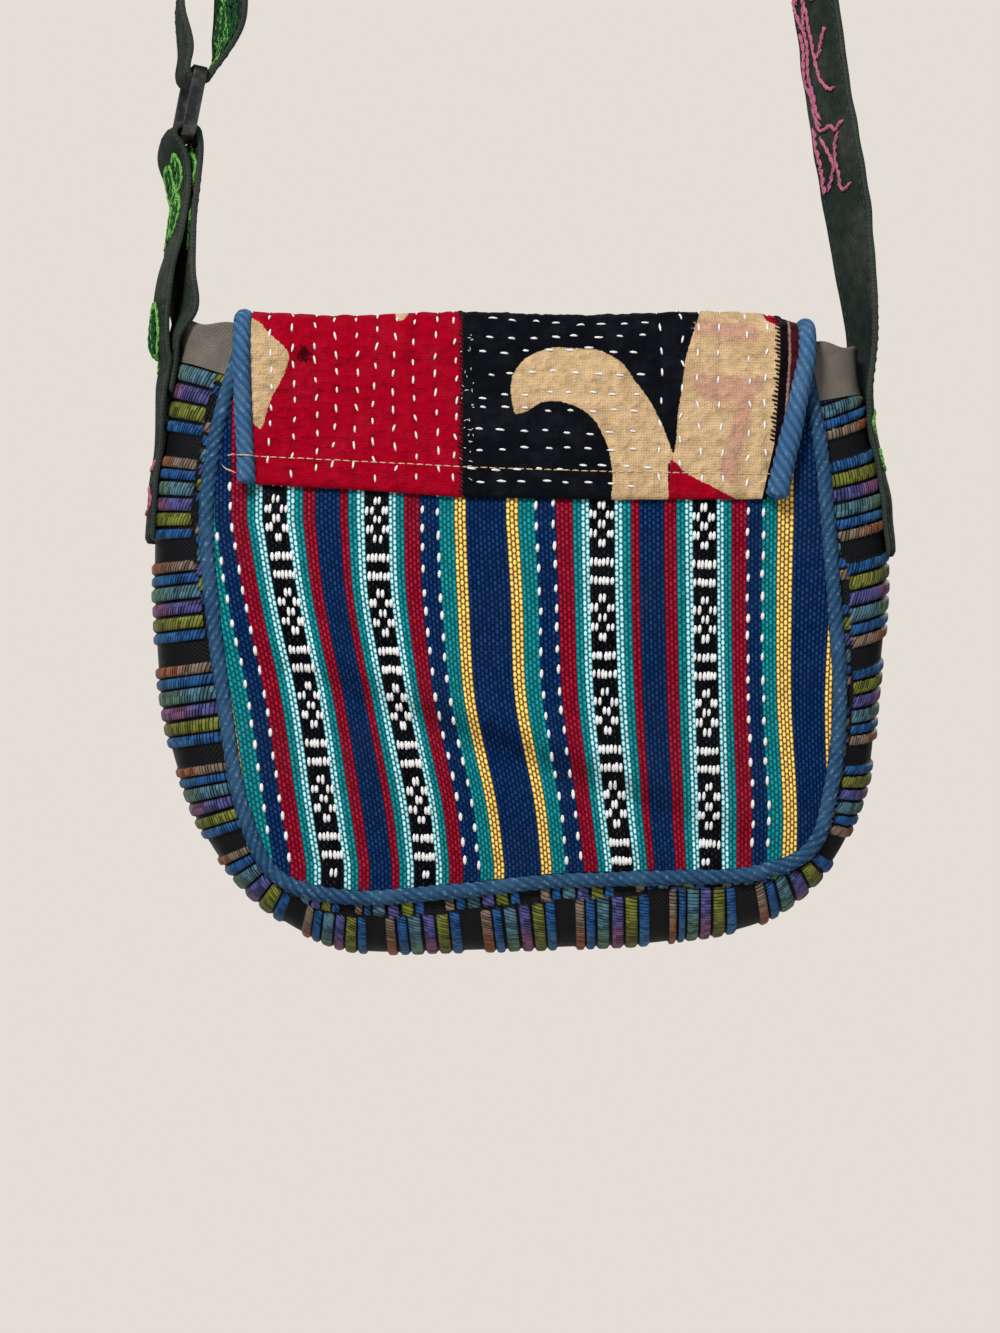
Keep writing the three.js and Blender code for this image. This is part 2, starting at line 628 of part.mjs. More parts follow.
function strapRing() {
  const shape = roundedRectangle(new THREE.Shape(), RING_WIDE, RING_TALL, RING_CORNER, 0);
  const inside = RING_CORNER - RING_THICK;
  const twice = 2 * RING_THICK;
  shape.holes.push(roundedRectangle(new THREE.Path(), RING_WIDE - twice, RING_TALL - twice, inside, 0));
  const geometry = new THREE.ExtrudeGeometry(shape, { depth: RING_STRIP, bevelEnabled: false, curveSegments: 2 });
  return setInFrame(geometry, RING, RING_STRIP);
}

function strapSlider() {
  const shape = roundedRectangle(new THREE.Shape(), SLIDER_WIDE, SLIDER_TALL, SLIDER_BAR, 0);
  const slot = (SLIDER_TALL - 3 * SLIDER_BAR) / 2;
  for (const side of [-1, 1]) {
    const middle = (side * (slot + SLIDER_BAR)) / 2;
    const wide = SLIDER_WIDE - 2 * SLIDER_BAR;
    shape.holes.push(roundedRectangle(new THREE.Path(), wide, slot, SLIDER_BAR / 3, middle));
  }
  const geometry = new THREE.ExtrudeGeometry(shape, { depth: SLIDER_THICK, bevelEnabled: false, curveSegments: 2 });
  return setInFrame(geometry, SLIDER, SLIDER_THICK);
}

// The finished bag.
const cloth = (colour) => new THREE.MeshStandardMaterial({ color: colour, roughness: 0.9, metalness: 0 });
const STRIPED_WEAVE = cloth('#1b3f70');
const RIBBED_WEAVE = cloth('#556b78');
const HEM_GREY = cloth('#726b63');
const PIPING_BLUE = cloth('#3f6281');
const QUILT_RED = cloth('#9e0b25');
const QUILT_BLACK = cloth('#1a1d21');
const QUILT_DARK = cloth('#3a1216');
const STRAP_GREEN_GREY = cloth('#2f3530');
const DARK_METAL = new THREE.MeshStandardMaterial({ color: '#4a4a48', roughness: 0.35, metalness: 1 });

const bag = new THREE.Group();
bag.name = 'patchwork_crossbody_bag';

function add(name, geometry, material) {
  geometry.deleteAttribute('normal');
  geometry.deleteAttribute('uv');
  const mesh = new THREE.Mesh(mergeVertices(geometry, 1e-4), material);
  mesh.geometry.computeVertexNormals();
  mesh.name = name;
  bag.add(mesh);
}

add('back_panel', panel(-1), STRIPED_WEAVE);
add('front_panel', panel(1), STRIPED_WEAVE);
add('gusset', gusset(), RIBBED_WEAVE);
add('gusset_hem_left', gussetHem(-HEM_RISE, HEM_LENGTH_LEFT - GAP, true), HEM_GREY);
add('gusset_hem_right', gussetHem(seamLength - HEM_LENGTH_RIGHT + GAP, seamLength + HEM_RISE, false), HEM_GREY);
add('back_piping', panelPiping(-1), PIPING_BLUE);
add('front_piping', panelPiping(1), PIPING_BLUE);
const allRows = flapRows();
const stripRows = allRows.filter((row) => row.drop < STRIP_END_DROP);
const leftEdge = (row, left) => left;
const redEnd = () => RED_SEAM - PATCH_GAP / 2;
const printStart = () => RED_SEAM + PATCH_GAP / 2;
const printEnd = (row, left, right) => printEdge(row, right);
const stripStart = (row, left, right) => stripSeam(row, right) + PATCH_GAP / 2;
const rightEdge = (row, left, right) => right;
add('flap_red_patch', flapPatch(allRows, leftEdge, redEnd, 4), QUILT_RED);
add('flap_print_patch', flapPatch(allRows, printStart, printEnd, 6), QUILT_BLACK);
add('flap_dark_strip', flapPatch(stripRows, stripStart, rightEdge, 1), QUILT_DARK);
add('flap_piping', flapPiping(), PIPING_BLUE);
add('strap', strap(), STRAP_GREEN_GREY);
add('strap_tab', strapTab(), STRAP_GREEN_GREY);
add('strap_ring', strapRing(), DARK_METAL);
add('strap_slider', strapSlider(), DARK_METAL);

export default bag;
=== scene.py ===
# %% [markdown]
# # A patchwork crossbody bag
# The bag hangs by its strap. Its body is two striped woven panels with a ribbed band between them, and a
# quilted flap folds over the mouth. Each cloth is made here as a fine grid that is laid where the plain
# solid lies, and then gets its thickness, its stitches and its finish.

# %% Load the frame
import math

import bpy
import numpy as np
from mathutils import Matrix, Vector


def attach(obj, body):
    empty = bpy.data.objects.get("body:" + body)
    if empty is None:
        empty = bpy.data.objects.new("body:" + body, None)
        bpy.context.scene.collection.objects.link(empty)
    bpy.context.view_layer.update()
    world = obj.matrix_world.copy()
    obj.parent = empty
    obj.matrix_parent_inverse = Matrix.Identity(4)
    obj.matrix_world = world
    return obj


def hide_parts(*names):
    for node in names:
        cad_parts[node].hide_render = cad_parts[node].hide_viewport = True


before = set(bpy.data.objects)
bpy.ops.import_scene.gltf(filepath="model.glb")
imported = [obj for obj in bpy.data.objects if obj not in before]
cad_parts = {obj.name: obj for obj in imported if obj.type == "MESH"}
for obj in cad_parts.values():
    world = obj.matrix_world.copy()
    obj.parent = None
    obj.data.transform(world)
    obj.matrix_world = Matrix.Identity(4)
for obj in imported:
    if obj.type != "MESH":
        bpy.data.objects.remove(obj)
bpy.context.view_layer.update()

print("solids:", sorted(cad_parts))

# %% [markdown]
# ## Camera, floor and light
# The picture is taken straight at the bag's shown face. One pixel of it covers a known length there, so the
# camera's lens follows from its distance. A large pale disc far below is the floor. The main lamp stands
# high on the left, so that folds show, and soft ones stand around, because the bag is looked at from every
# side.

# %% Places in the picture, and the camera
MM = 0.001
FOLD_Z = -560.0              # height of the flap's fold under the hook, in mm
PIXEL = 0.34                 # mm on the shown face for one pixel of the picture
PICTURE_WIDE = 1000
PICTURE_TALL = 1333
MIDDLE_COLUMN = 523          # pixel column of the bag's middle
FOLD_ROW = 313               # pixel row of the flap's fold
FACE_DEPTH = 16.0            # the shown face lies this far in front of the bag's middle
CAMERA_AWAY = 1000.0
SENSOR = 36.0


def picture_x(column):
    return (np.asarray(column, float) - MIDDLE_COLUMN) * PIXEL


def picture_drop(row):
    return (np.asarray(row, float) - FOLD_ROW) * PIXEL


camera_x = float(picture_x(PICTURE_WIDE / 2))
camera_z = FOLD_Z - float(picture_drop(PICTURE_TALL / 2))
camera_y = -(CAMERA_AWAY + FACE_DEPTH)
bpy.ops.object.select_all(action="DESELECT")
bpy.ops.object.camera_add(
    location=(camera_x * MM, camera_y * MM, camera_z * MM), rotation=(math.pi / 2, 0, 0))
camera = bpy.context.object
camera.data.sensor_width = SENSOR
camera.data.lens = SENSOR * CAMERA_AWAY / (PICTURE_TALL * PIXEL)
bpy.context.scene.camera = camera
print("camera at", [round(c, 3) for c in camera.location], "lens", round(camera.data.lens, 1))

# %% Colours
def colour(red, green, blue):
    """A colour as a shader takes it, from the 0 to 255 of a paint chart."""
    shares = np.array([red, green, blue]) / 255
    linear = np.where(shares <= 0.04045, shares / 12.92, ((shares + 0.055) / 1.055) ** 2.4)
    return (*(float(c) for c in linear), 1.0)


# %% Small node helpers
def add_node(tree, kind, output, inputs, **settings):
    """Adds a node, sets or links its inputs, and gives one of its outputs."""
    node = tree.nodes.new(kind)
    for name, value in settings.items():
        setattr(node, name, value)
    for name, value in inputs.items():
        if isinstance(value, bpy.types.NodeSocket):
            tree.links.new(value, node.inputs[name])
        else:
            node.inputs[name].default_value = value
    return node.outputs[output]


def calc(tree, operation, first, second=0.0, third=0.0):
    return add_node(tree, "ShaderNodeMath", 0, {0: first, 1: second, 2: third}, operation=operation)


def times(tree, first, second):
    return calc(tree, "MULTIPLY", first, second)


def blend(tree, share, first, second):
    """The first colour where share is 0, the second where it is 1."""
    return add_node(tree, "ShaderNodeMix", 2, {0: share, 6: first, 7: second}, data_type="RGBA")


def soft_step(tree, value, low, high):
    inputs = {"Value": value, "From Min": low, "From Max": high}
    return add_node(tree, "ShaderNodeMapRange", 0, inputs, interpolation_type="SMOOTHSTEP")


def bands(tree, place, starts, shades):
    """Colours in bands, each from its start on, between 0 and 1."""
    node = tree.nodes.new("ShaderNodeValToRGB")
    node.color_ramp.interpolation = "CONSTANT"
    elements = node.color_ramp.elements
    stops = list(zip(starts, shades))
    elements[0].position, elements[0].color = stops[0]
    elements[1].position, elements[1].color = stops[1]
    for start, shade in stops[2:]:
        elements.new(start).color = shade
    tree.links.new(place, node.inputs[0])
    return node.outputs[0]


def speckle(tree, place, size):
    inputs = {"Vector": place, "Scale": 1 / size, "Detail": 3.0}
    return add_node(tree, "ShaderNodeTexNoise", 0, inputs)


def cloth_place(tree):
    """Where a point lies on its own flat cloth, in mm."""
    return add_node(tree, "ShaderNodeUVMap", 0, {}, uv_map="UVMap")


def scaled(tree, vector, by):
    return add_node(tree, "ShaderNodeVectorMath", 0, {0: vector, "Scale": by}, operation="SCALE")


def object_place(tree):
    """Where a point lies on the bag, in mm."""
    return scaled(tree, add_node(tree, "ShaderNodeTexCoord", "Object", {}), 1 / MM)


def stored(tree, name):
    return add_node(tree, "ShaderNodeAttribute", "Fac", {}, attribute_name=name)


def split(tree, place):
    node = tree.nodes.new("ShaderNodeSeparateXYZ")
    tree.links.new(place, node.inputs[0])
    return node.outputs[0], node.outputs[1]


def chance_of(tree, first, second):
    """A lasting random value for each whole step of two places."""
    steps = {0: calc(tree, "FLOOR", first), 1: calc(tree, "FLOOR", second)}
    cell = add_node(tree, "ShaderNodeCombineXYZ", 0, steps)
    return add_node(tree, "ShaderNodeTexWhiteNoise", 0, {"Vector": cell}, noise_dimensions="3D")


def thread_round(tree, place):
    """0 between threads and 1 on top of one, where place counts threads."""
    return calc(tree, "ABSOLUTE", calc(tree, "SINE", times(tree, place, math.pi)))


def new_finish(name, roughness, shine=0.06, metallic=0.0):
    """A material with its one shader, whose steady values are set on the shader itself."""
    finish = bpy.data.materials.new(name)
    finish.use_nodes = True
    shader = finish.node_tree.nodes["Principled BSDF"]
    shader.inputs["Roughness"].default_value = roughness
    shader.inputs["Metallic"].default_value = metallic
    shader.inputs["Specular IOR Level"].default_value = shine
    print("finish:", name)
    return finish, finish.node_tree, shader


def give_colour(tree, shader, shown):
    tree.links.new(shown, shader.inputs["Base Color"])


def give_relief(tree, shader, height, deep_mm):
    inputs = {"Height": height, "Distance": deep_mm * MM, "Strength": 1.0}
    tree.links.new(add_node(tree, "ShaderNodeBump", 0, inputs), shader.inputs["Normal"])


# %% Floor, lamps and air
FLOOR_Z = -1.58
FLOOR_RADIUS = 2.8
bpy.ops.mesh.primitive_circle_add(
    vertices=96, radius=FLOOR_RADIUS, fill_type="NGON", location=(0, 0, FLOOR_Z))
floor = bpy.context.object
floor.name = "floor"
floor_finish, floor_tree, floor_shader = new_finish("pale_floor", 0.9)
floor_patches = speckle(floor_tree, object_place(floor_tree), 400.0)
floor_shade = blend(floor_tree, floor_patches, colour(226, 220, 214), colour(236, 231, 226))
give_colour(floor_tree, floor_shader, floor_shade)
floor.data.materials.append(floor_finish)

LAMPS = [  # name, place in m, watts, size in m
    ("key_lamp", (-0.50, -1.15, 0.50), 35.0, 0.4),
    ("fill_lamp", (1.15, -1.20, -0.75), 4.5, 1.2),
    ("low_lamp", (-0.3, -1.3, -1.3), 2.5, 1.0),
    ("back_key_lamp", (0.75, 1.35, 0.10), 26.0, 0.8),
    ("back_fill_lamp", (-1.15, 1.20, -0.75), 8.0, 1.2),
]
LAMP_TARGET = Vector((0, 0, -0.62))
for name, place, watts, size in LAMPS:
    heading = (LAMP_TARGET - Vector(place)).to_track_quat("-Z", "Y").to_euler()
    bpy.ops.object.light_add(type="AREA", location=place, rotation=heading)
    lamp = bpy.context.object
    lamp.name = name
    lamp.data.energy = watts
    lamp.data.size = size

world = bpy.data.worlds.new("studio_air")
bpy.context.scene.world = world
world.use_nodes = True
air = world.node_tree
air.nodes.clear()
seen = add_node(air, "ShaderNodeBackground", 0, {0: colour(229, 222, 215), 1: 1.0})
glow = add_node(air, "ShaderNodeBackground", 0, {0: colour(240, 240, 244), 1: 0.24})
by_camera = add_node(air, "ShaderNodeLightPath", "Is Camera Ray", {})
either = add_node(air, "ShaderNodeMixShader", 0, {0: by_camera, 1: glow, 2: seen})
air_output = air.nodes.new("ShaderNodeOutputWorld")
air.links.new(either, air_output.inputs[0])
bpy.context.scene.view_settings.view_transform = "Standard"
print("lamps:", [row[0] for row in LAMPS])

# %% [markdown]
# ## Shaping helpers
# Cloth has few corners, so its shape comes from smooth lines through a few given points. A grid is added
# with Blender's own operator, and every point of it is then laid by its two shares: how far across the
# cloth, and how far down. Threads are many and small, so all threads of one kind are made together as one
# mesh.

# %% Smooth lines
def smooth_line(points, steps, evenness=0.5):
    """A line through the points, with so many steps to a span. With evenness 0 every span counts alike."""
    points = np.asarray(points, float)
    first = 2 * points[:1] - points[1:2]
    last = 2 * points[-1:] - points[-2:-1]
    padded = np.vstack([first, points, last])
    spans = np.maximum(np.linalg.norm(np.diff(padded, axis=0), axis=1) ** evenness, 1e-6)
    share = np.arange(steps)[:, None] / steps
    pieces = []
    for k in range(len(points) - 1):
        before, start, end, after = padded[k:k + 4]
        gap_before, gap, gap_after = spans[k:k + 3]
        middle = (end - start) / gap
        leave = gap * ((start - before) / gap_before - (end - before) / (gap_before + gap) + middle)
        arrive = gap * (middle - (after - start) / (gap + gap_after) + (after - end) / gap_after)
        square = 3 * (end - start) - 2 * leave - arrive
        cube = 2 * (start - end) + leave + arrive
        pieces.append(start + share * (leave + share * (square + share * cube)))
    return np.vstack([*pieces, points[-1:]])


def run_along(points):
    return np.concatenate([[0.0], np.cumsum(np.linalg.norm(np.diff(points, axis=0), axis=1))])


def evenly(points, step):
    """The same line with its points about a step apart."""
    run = run_along(points)
    marks = np.linspace(0, run[-1], max(2, round(run[-1] / step)) + 1)
    return np.stack([np.interp(marks, run, column) for column in points.T], axis=-1)


def unit(vectors):
    return vectors / np.maximum(np.linalg.norm(vectors, axis=-1, keepdims=True), 1e-9)


def ease(share):
    share = np.clip(share, 0, 1)
    return share * share * (3 - 2 * share)


def quarter_round(share):
    """1 at share 0 and 0 at share 1, along a quarter of a circle."""
    return np.sqrt(1 - np.clip(share, 0, 1) ** 2)


def squared_arc(share, squareness):
    """Depth from 1 to -1, and rise from 0 to 1 and back, over a half circle with fuller corners."""
    angle = math.pi * share
    depth = np.sign(np.cos(angle)) * np.abs(np.cos(angle)) ** squareness
    return depth, np.maximum(np.sin(angle), 0) ** squareness


def pairs(first, second):
    return np.stack((first, second), axis=-1)


def in_place(x, depth, drop):
    """A point in mm: its place across, its depth to the back, and its drop below the fold."""
    return np.stack(np.broadcast_arrays(x, depth, FOLD_Z - drop), axis=-1)


def ripples(first, second, size, seed):
    """Gentle uneven waves over a cloth, about from -1 to 1."""
    draw = np.random.default_rng(seed)
    total = 0.0
    for _ in range(7):
        heading, start = draw.uniform(0, 2 * math.pi, 2)
        wave = 2 * math.pi / (size * draw.uniform(0.7, 1.5))
        total = total + np.sin((first * math.cos(heading) + second * math.sin(heading)) * wave + start)
    return total / 4


def with_normals(surface, first, second, steps=(0.4, 0.4)):
    """Points of a surface and the unit normals there."""
    one, two = steps
    along_first = surface(first + one, second) - surface(first - one, second)
    along_second = surface(first, second + two) - surface(first, second - two)
    return surface(first, second), unit(np.cross(along_first, along_second))


# %% Cloth from a grid
BAG_MIDDLE = (0, 0, FOLD_Z - 100)


def pick(piece):
    """Selects one piece and nothing else."""
    bpy.ops.object.select_all(action="DESELECT")
    piece.select_set(True)
    bpy.context.view_layer.objects.active = piece


def close_skin(merge=0.0):
    """Merges points of the active piece closer than so many mm, and turns its faces outwards."""
    bpy.ops.object.mode_set(mode="EDIT")
    bpy.ops.mesh.select_all(action="SELECT")
    if merge:
        bpy.ops.mesh.remove_doubles(threshold=merge * MM)
    bpy.ops.mesh.normals_make_consistent(inside=False)
    bpy.ops.object.mode_set(mode="OBJECT")
    bpy.ops.object.shade_smooth()


def lay_cloth(name, columns, rows, place):
    """A new grid whose points are laid by place(across, down), for shares from 0 to 1, in mm."""
    bpy.ops.object.select_all(action="DESELECT")
    bpy.ops.mesh.primitive_grid_add(x_subdivisions=columns, y_subdivisions=rows, size=1, calc_uvs=True)
    piece = bpy.context.object
    piece.name = name
    piece.data.name = name
    flat = np.zeros(len(piece.data.vertices) * 3)
    piece.data.vertices.foreach_get("co", flat)
    across = flat[0::3] + 0.5
    down = 0.5 - flat[1::3]
    laid = place(across, down) * MM
    piece.data.vertices.foreach_set("co", laid.ravel())
    piece.data.update()
    return piece, across, down


def face_away(piece):
    """Turns the faces of a cloth so that they look away from the middle of the bag."""
    faces = piece.data.polygons
    centres = np.zeros(len(faces) * 3)
    normals = np.zeros(len(faces) * 3)
    faces.foreach_get("center", centres)
    faces.foreach_get("normal", normals)
    away = centres.reshape(-1, 3) - np.array(BAG_MIDDLE) * MM
    if np.sum(away * normals.reshape(-1, 3)) < 0:
        bpy.ops.object.mode_set(mode="EDIT")
        bpy.ops.mesh.select_all(action="SELECT")
        bpy.ops.mesh.flip_normals()
        bpy.ops.object.mode_set(mode="OBJECT")


def set_cloth_place(piece, first, second):
    """Stores each point's place on the flat cloth, in mm, as the piece's own map."""
    corners = np.zeros(len(piece.data.loops), int)
    piece.data.loops.foreach_get("vertex_index", corners)
    flat = pairs(first[corners], second[corners])
    piece.data.uv_layers[0].name = "UVMap"
    piece.data.uv_layers[0].data.foreach_set("uv", flat.ravel())


def store(piece, name, values):
    attribute = piece.data.attributes.new(name, "FLOAT", "POINT")
    attribute.data.foreach_set("value", np.asarray(values, np.float32))


def apply_modifier(piece, kind, **settings):
    pick(piece)
    modifier = piece.modifiers.new(kind.title(), kind)
    for name, value in settings.items():
        setattr(modifier, name, value)
    bpy.ops.object.modifier_apply(modifier=modifier.name)


def thicken(piece, thickness):
    apply_modifier(piece, "SOLIDIFY", thickness=thickness * MM, offset=-1.0, use_even_offset=False)
    bpy.ops.object.shade_smooth_by_angle(angle=math.radians(60))


def dress(piece, finish, slot, *nodes):
    """Gives a piece its finish and its body, and hides the solids that it stands for."""
    piece.data.materials.clear()
    piece.data.materials.append(finish)
    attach(piece, "root")
    if nodes:
        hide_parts(*nodes)
    area = sum(face.area for face in piece.data.polygons)
    triangles = sum(len(face.vertices) - 2 for face in piece.data.polygons)
    print(f"{piece.name}: {triangles} triangles, surface {area:.4f} square metres")


# %% Threads
STITCH_SHARES = np.array([0.0, 0.1, 0.35, 0.65, 0.9, 1.0])
STITCH_RISE = np.array([-0.7, 0.2, 0.5, 0.5, 0.2, -0.7])


def sew(name, lines, normals, width, height, finish, slot, sides=6):
    """One mesh of many threads. Lines and normals are threads x points x 3, in mm."""
    heading = unit(np.gradient(lines, axis=1))
    side = unit(np.cross(heading, normals))
    up = np.cross(side, heading)
    width = np.broadcast_to(width, len(lines))[:, None, None, None] / 2
    height = np.broadcast_to(height, len(lines))[:, None, None, None] / 2
    angle = 2 * math.pi * np.arange(sides) / sides
    ring = np.cos(angle)[:, None] * side[:, 1:-1, None] * width
    ring = ring + np.sin(angle)[:, None] * up[:, 1:-1, None] * height
    ring[:, [0, -1]] *= 0.6
    middle = lines[:, 1:-1, None] + ring
    count, inner = middle.shape[:2]
    block = inner * sides + 2
    points = np.concatenate([middle.reshape(count, -1, 3), lines[:, :1], lines[:, -1:]], axis=1)
    one_thread = []
    for k in range(sides):
        after = (k + 1) % sides
        one_thread.append((after, k, block - 2))
        one_thread.append(((inner - 1) * sides + k, (inner - 1) * sides + after, block - 1))
        for row in range(inner - 1):
            low, high = row * sides, (row + 1) * sides
            one_thread.append((low + k, low + after, high + after, high + k))
    faces = [tuple(corner + start for corner in face)
             for start in range(0, count * block, block) for face in one_thread]
    mesh = bpy.data.meshes.new(name)
    mesh.from_pydata((points.reshape(-1, 3) * MM).tolist(), [], faces)
    piece = bpy.data.objects.new(name, mesh)
    bpy.context.scene.collection.objects.link(piece)
    pick(piece)
    close_skin()
    dress(piece, finish, slot)
    return piece


def stitch_lines(surface, way, starts, ends, height, steps=(0.4, 0.4)):
    """Stitches that dip into the cloth at both ends: starts and ends are their places on the cloth."""
    share = STITCH_SHARES[None, :, None]
    places = starts[:, None] * (1 - share) + ends[:, None] * share
    points, normals = with_normals(surface, places[..., 0], places[..., 1], steps)
    normals = normals * way
    return points + normals * (STITCH_RISE * height)[:, None], normals


def thread_finish(name, shade, dark):
    finish, tree, shader = new_finish(name, 0.75)
    fibres = speckle(tree, object_place(tree), 0.35)
    give_colour(tree, shader, blend(tree, soft_step(tree, fibres, 0.35, 0.6), dark, shade))
    give_relief(tree, shader, fibres, 0.12)
    return finish


white_thread = thread_finish("white_cotton_thread", colour(230, 229, 228), colour(192, 190, 188))
tan_thread = thread_finish("tan_sewing_thread", colour(214, 182, 148), colour(172, 134, 100))
black_thread = thread_finish("black_sewing_thread", colour(30, 30, 34), colour(10, 10, 12))
pink_thread = thread_finish("pink_embroidery_thread", colour(184, 108, 132), colour(122, 62, 82))
green_thread = thread_finish("green_embroidery_thread", colour(116, 176, 80), colour(32, 84, 36))
dark_green_thread = thread_finish("dark_green_thread", colour(34, 76, 42), colour(10, 38, 20))
strap_thread = thread_finish("strap_sewing_thread", colour(72, 72, 62), colour(34, 36, 31))
print("threads:", [m.name for m in bpy.data.materials if "thread" in m.name])

# %% [markdown]
# ## Shared cloth effects
# Several cloths show the same two things: the over and under of a plain weave, and patches that have faded
# or soiled with use. Each is a node group, made once and placed in every finish that needs it.

# %% Node groups for plain weave and for wear
def effect(name, inputs, outputs):
    tree = bpy.data.node_groups.new(name, "ShaderNodeTree")
    for label, kind in inputs:
        tree.interface.new_socket(label, in_out="INPUT", socket_type=kind)
    for label in outputs:
        tree.interface.new_socket(label, in_out="OUTPUT", socket_type="NodeSocketFloat")
    return tree, tree.nodes.new("NodeGroupInput"), tree.nodes.new("NodeGroupOutput")


plain_weave, weave_in, weave_out = effect(
    "plain_weave", [("Place", "NodeSocketVector"), ("Pitch", "NodeSocketFloat")], ["Height"])
per_mm = calc(plain_weave, "DIVIDE", 1.0, weave_in.outputs["Pitch"])
warp, weft = split(plain_weave, scaled(plain_weave, weave_in.outputs["Place"], per_mm))
crossing = calc(plain_weave, "ADD", calc(plain_weave, "FLOOR", warp), calc(plain_weave, "FLOOR", weft))
warp_over = calc(plain_weave, "PINGPONG", crossing, 1.0)
warp_height = times(plain_weave, thread_round(plain_weave, warp), warp_over)
weft_over = calc(plain_weave, "SUBTRACT", 1.0, warp_over)
weave_height = calc(plain_weave, "MULTIPLY_ADD", thread_round(plain_weave, weft), weft_over, warp_height)
plain_weave.links.new(weave_height, weave_out.inputs["Height"])

wear, wear_in, wear_out = effect(
    "wear", [("Place", "NodeSocketVector"), ("Size", "NodeSocketFloat")], ["Fade"])
wear_scale = calc(wear, "DIVIDE", 1.0, wear_in.outputs["Size"])
wear_inputs = {"Vector": wear_in.outputs["Place"], "Scale": wear_scale, "Detail": 5.0, "Roughness": 0.6}
wear_noise = add_node(wear, "ShaderNodeTexNoise", 0, wear_inputs)
wear.links.new(soft_step(wear, wear_noise, 0.42, 0.68), wear_out.inputs["Fade"])


def cloth_weave(tree, pitch):
    """Height of the threads of a plain weave that lie so many mm apart."""
    inputs = {"Place": cloth_place(tree), "Pitch": pitch}
    return add_node(tree, "ShaderNodeGroup", "Height", inputs, node_tree=plain_weave)


def cloth_wear(tree, size):
    """Share of fading, in patches of about so many mm."""
    inputs = {"Place": object_place(tree), "Size": size}
    return add_node(tree, "ShaderNodeGroup", "Fade", inputs, node_tree=wear)


print("groups:", [g.name for g in bpy.data.node_groups])

# %% [markdown]
# ## The bag's main shape
# Everything hangs on one line: the sewn edge of a panel, from the left end of the mouth round to the right
# end. The panels lie inside it, the piping on it, and the ribbed band bulges out between the two of them.
# The bag is drawn together at its mouth, and the panels swell a little, as soft cloth with nothing in it
# does. On the shown one a few folds run down, and one runs aslant.

# %% The sewn edge
SEAM = [  # place, x, drop below the fold, how far the ribbed band bulges out past the edge, in mm
    ("left mouth", -95.0, 8.0, 22.5),
    ("left shoulder", -103.5, 37.0, 19.7),
    ("left waist", -107.6, 69.0, 19.9),
    ("left hip", -105.2, 103.0, 22.5),
    ("left thigh", -100.8, 137.0, 23.5),
    ("left knee", -95.3, 168.0, 18.8),
    ("left corner", -84.0, 191.0, 13.5),
    ("left foot", -60.0, 198.4, 20.0),
    ("bottom left", -27.0, 196.8, 22.5),
    ("bottom right", 10.0, 193.0, 25.2),
    ("right foot", 47.0, 191.8, 24.5),
    ("right toe", 78.0, 190.5, 19.5),
    ("right corner", 97.5, 182.0, 11.5),
    ("right knee", 104.8, 160.0, 14.5),
    ("right thigh", 107.6, 131.0, 15.5),
    ("right hip", 105.8, 100.0, 20.5),
    ("right waist", 103.5, 70.0, 22.0),
    ("right shoulder", 101.0, 44.0, 19.8),
    ("right mouth", 95.0, 11.0, 18.5),
]
SEAM_STEPS = 40
seam_line = smooth_line([row[1:] for row in SEAM], SEAM_STEPS, evenness=0)
seam_run = run_along(seam_line[:, :2])
seam_heading = unit(np.gradient(seam_line[:, :2], seam_run, axis=0))
SEAM_LENGTH = seam_run[-1]


def seam_to(place):
    return seam_run[[row[0] for row in SEAM].index(place) * SEAM_STEPS]


def seam_at(run):
    """x, drop, outward x, outward drop and bulge at a length along the seam, straight on past its ends."""
    inside = np.clip(run, 0, SEAM_LENGTH)
    x, drop, bulge = (np.interp(inside, seam_run, seam_line[:, k]) for k in range(3))
    ahead_x, ahead_drop = (np.interp(inside, seam_run, seam_heading[:, k]) for k in range(2))
    past = run - inside
    return x + ahead_x * past, drop + ahead_drop * past, -ahead_drop, ahead_x, bulge


print(f"sewn edge: {SEAM_LENGTH:.1f} mm")

# %% The swell of a panel and its soft creases
DEEP_HALF = 17.0
MOUTH_PINCH = 9.0
PINCH_LENGTH = 32.0
BELLY = 4.5
BELLY_HALF_WIDTH = 108.0
BELLY_TOP = 8.0
BELLY_HEIGHT = 190.0
PANEL_PROUD = 0.7
PIPING_RADIUS = 2.8
MOUTH_LOWERED = 4.0
PANEL_MARGIN = 2.6           # the panel's cut edge is tucked against its piping
WRINKLE = 0.25
WRINKLES_FROM = 62.0         # below this drop the shown panel is free of the flap
CREASES = [  # x at its top, lean, half width, height, first and last drop, in mm
    (-78, 0.32, 13, 1.3, 66, 180),
    (-30, 0.26, 17, -1.2, 70, 190),
    (22, 0.16, 15, 1.2, 66, 185),
    (66, 0.05, 13, -1.0, 66, 176),
    (80, -0.3, 12, -1.3, 66, 140),
    (-105, 2.5, 19, 2.8, 100, 180),
    (-97, 2.5, 18, -3.4, 114, 192),
]


def half_depth(drop):
    return DEEP_HALF - MOUTH_PINCH * np.exp(-np.asarray(drop) / PINCH_LENGTH)


def panel_face(x, drop):
    across = np.maximum(0, 1 - (x / BELLY_HALF_WIDTH) ** 2)
    down = np.sin(math.pi * np.clip((drop - BELLY_TOP) / BELLY_HEIGHT, 0, 1))
    return half_depth(drop) + PANEL_PROUD + BELLY * across * down


def creases(x, drop):
    height = 0.0
    for top_x, lean, half_width, rise, first, last in CREASES:
        away = (x - top_x - lean * (drop - first)) / half_width
        run = np.clip((drop - first) / (last - first), 0, 1)
        height = height + rise * np.exp(-away * away) * np.sin(math.pi * run)
    return height


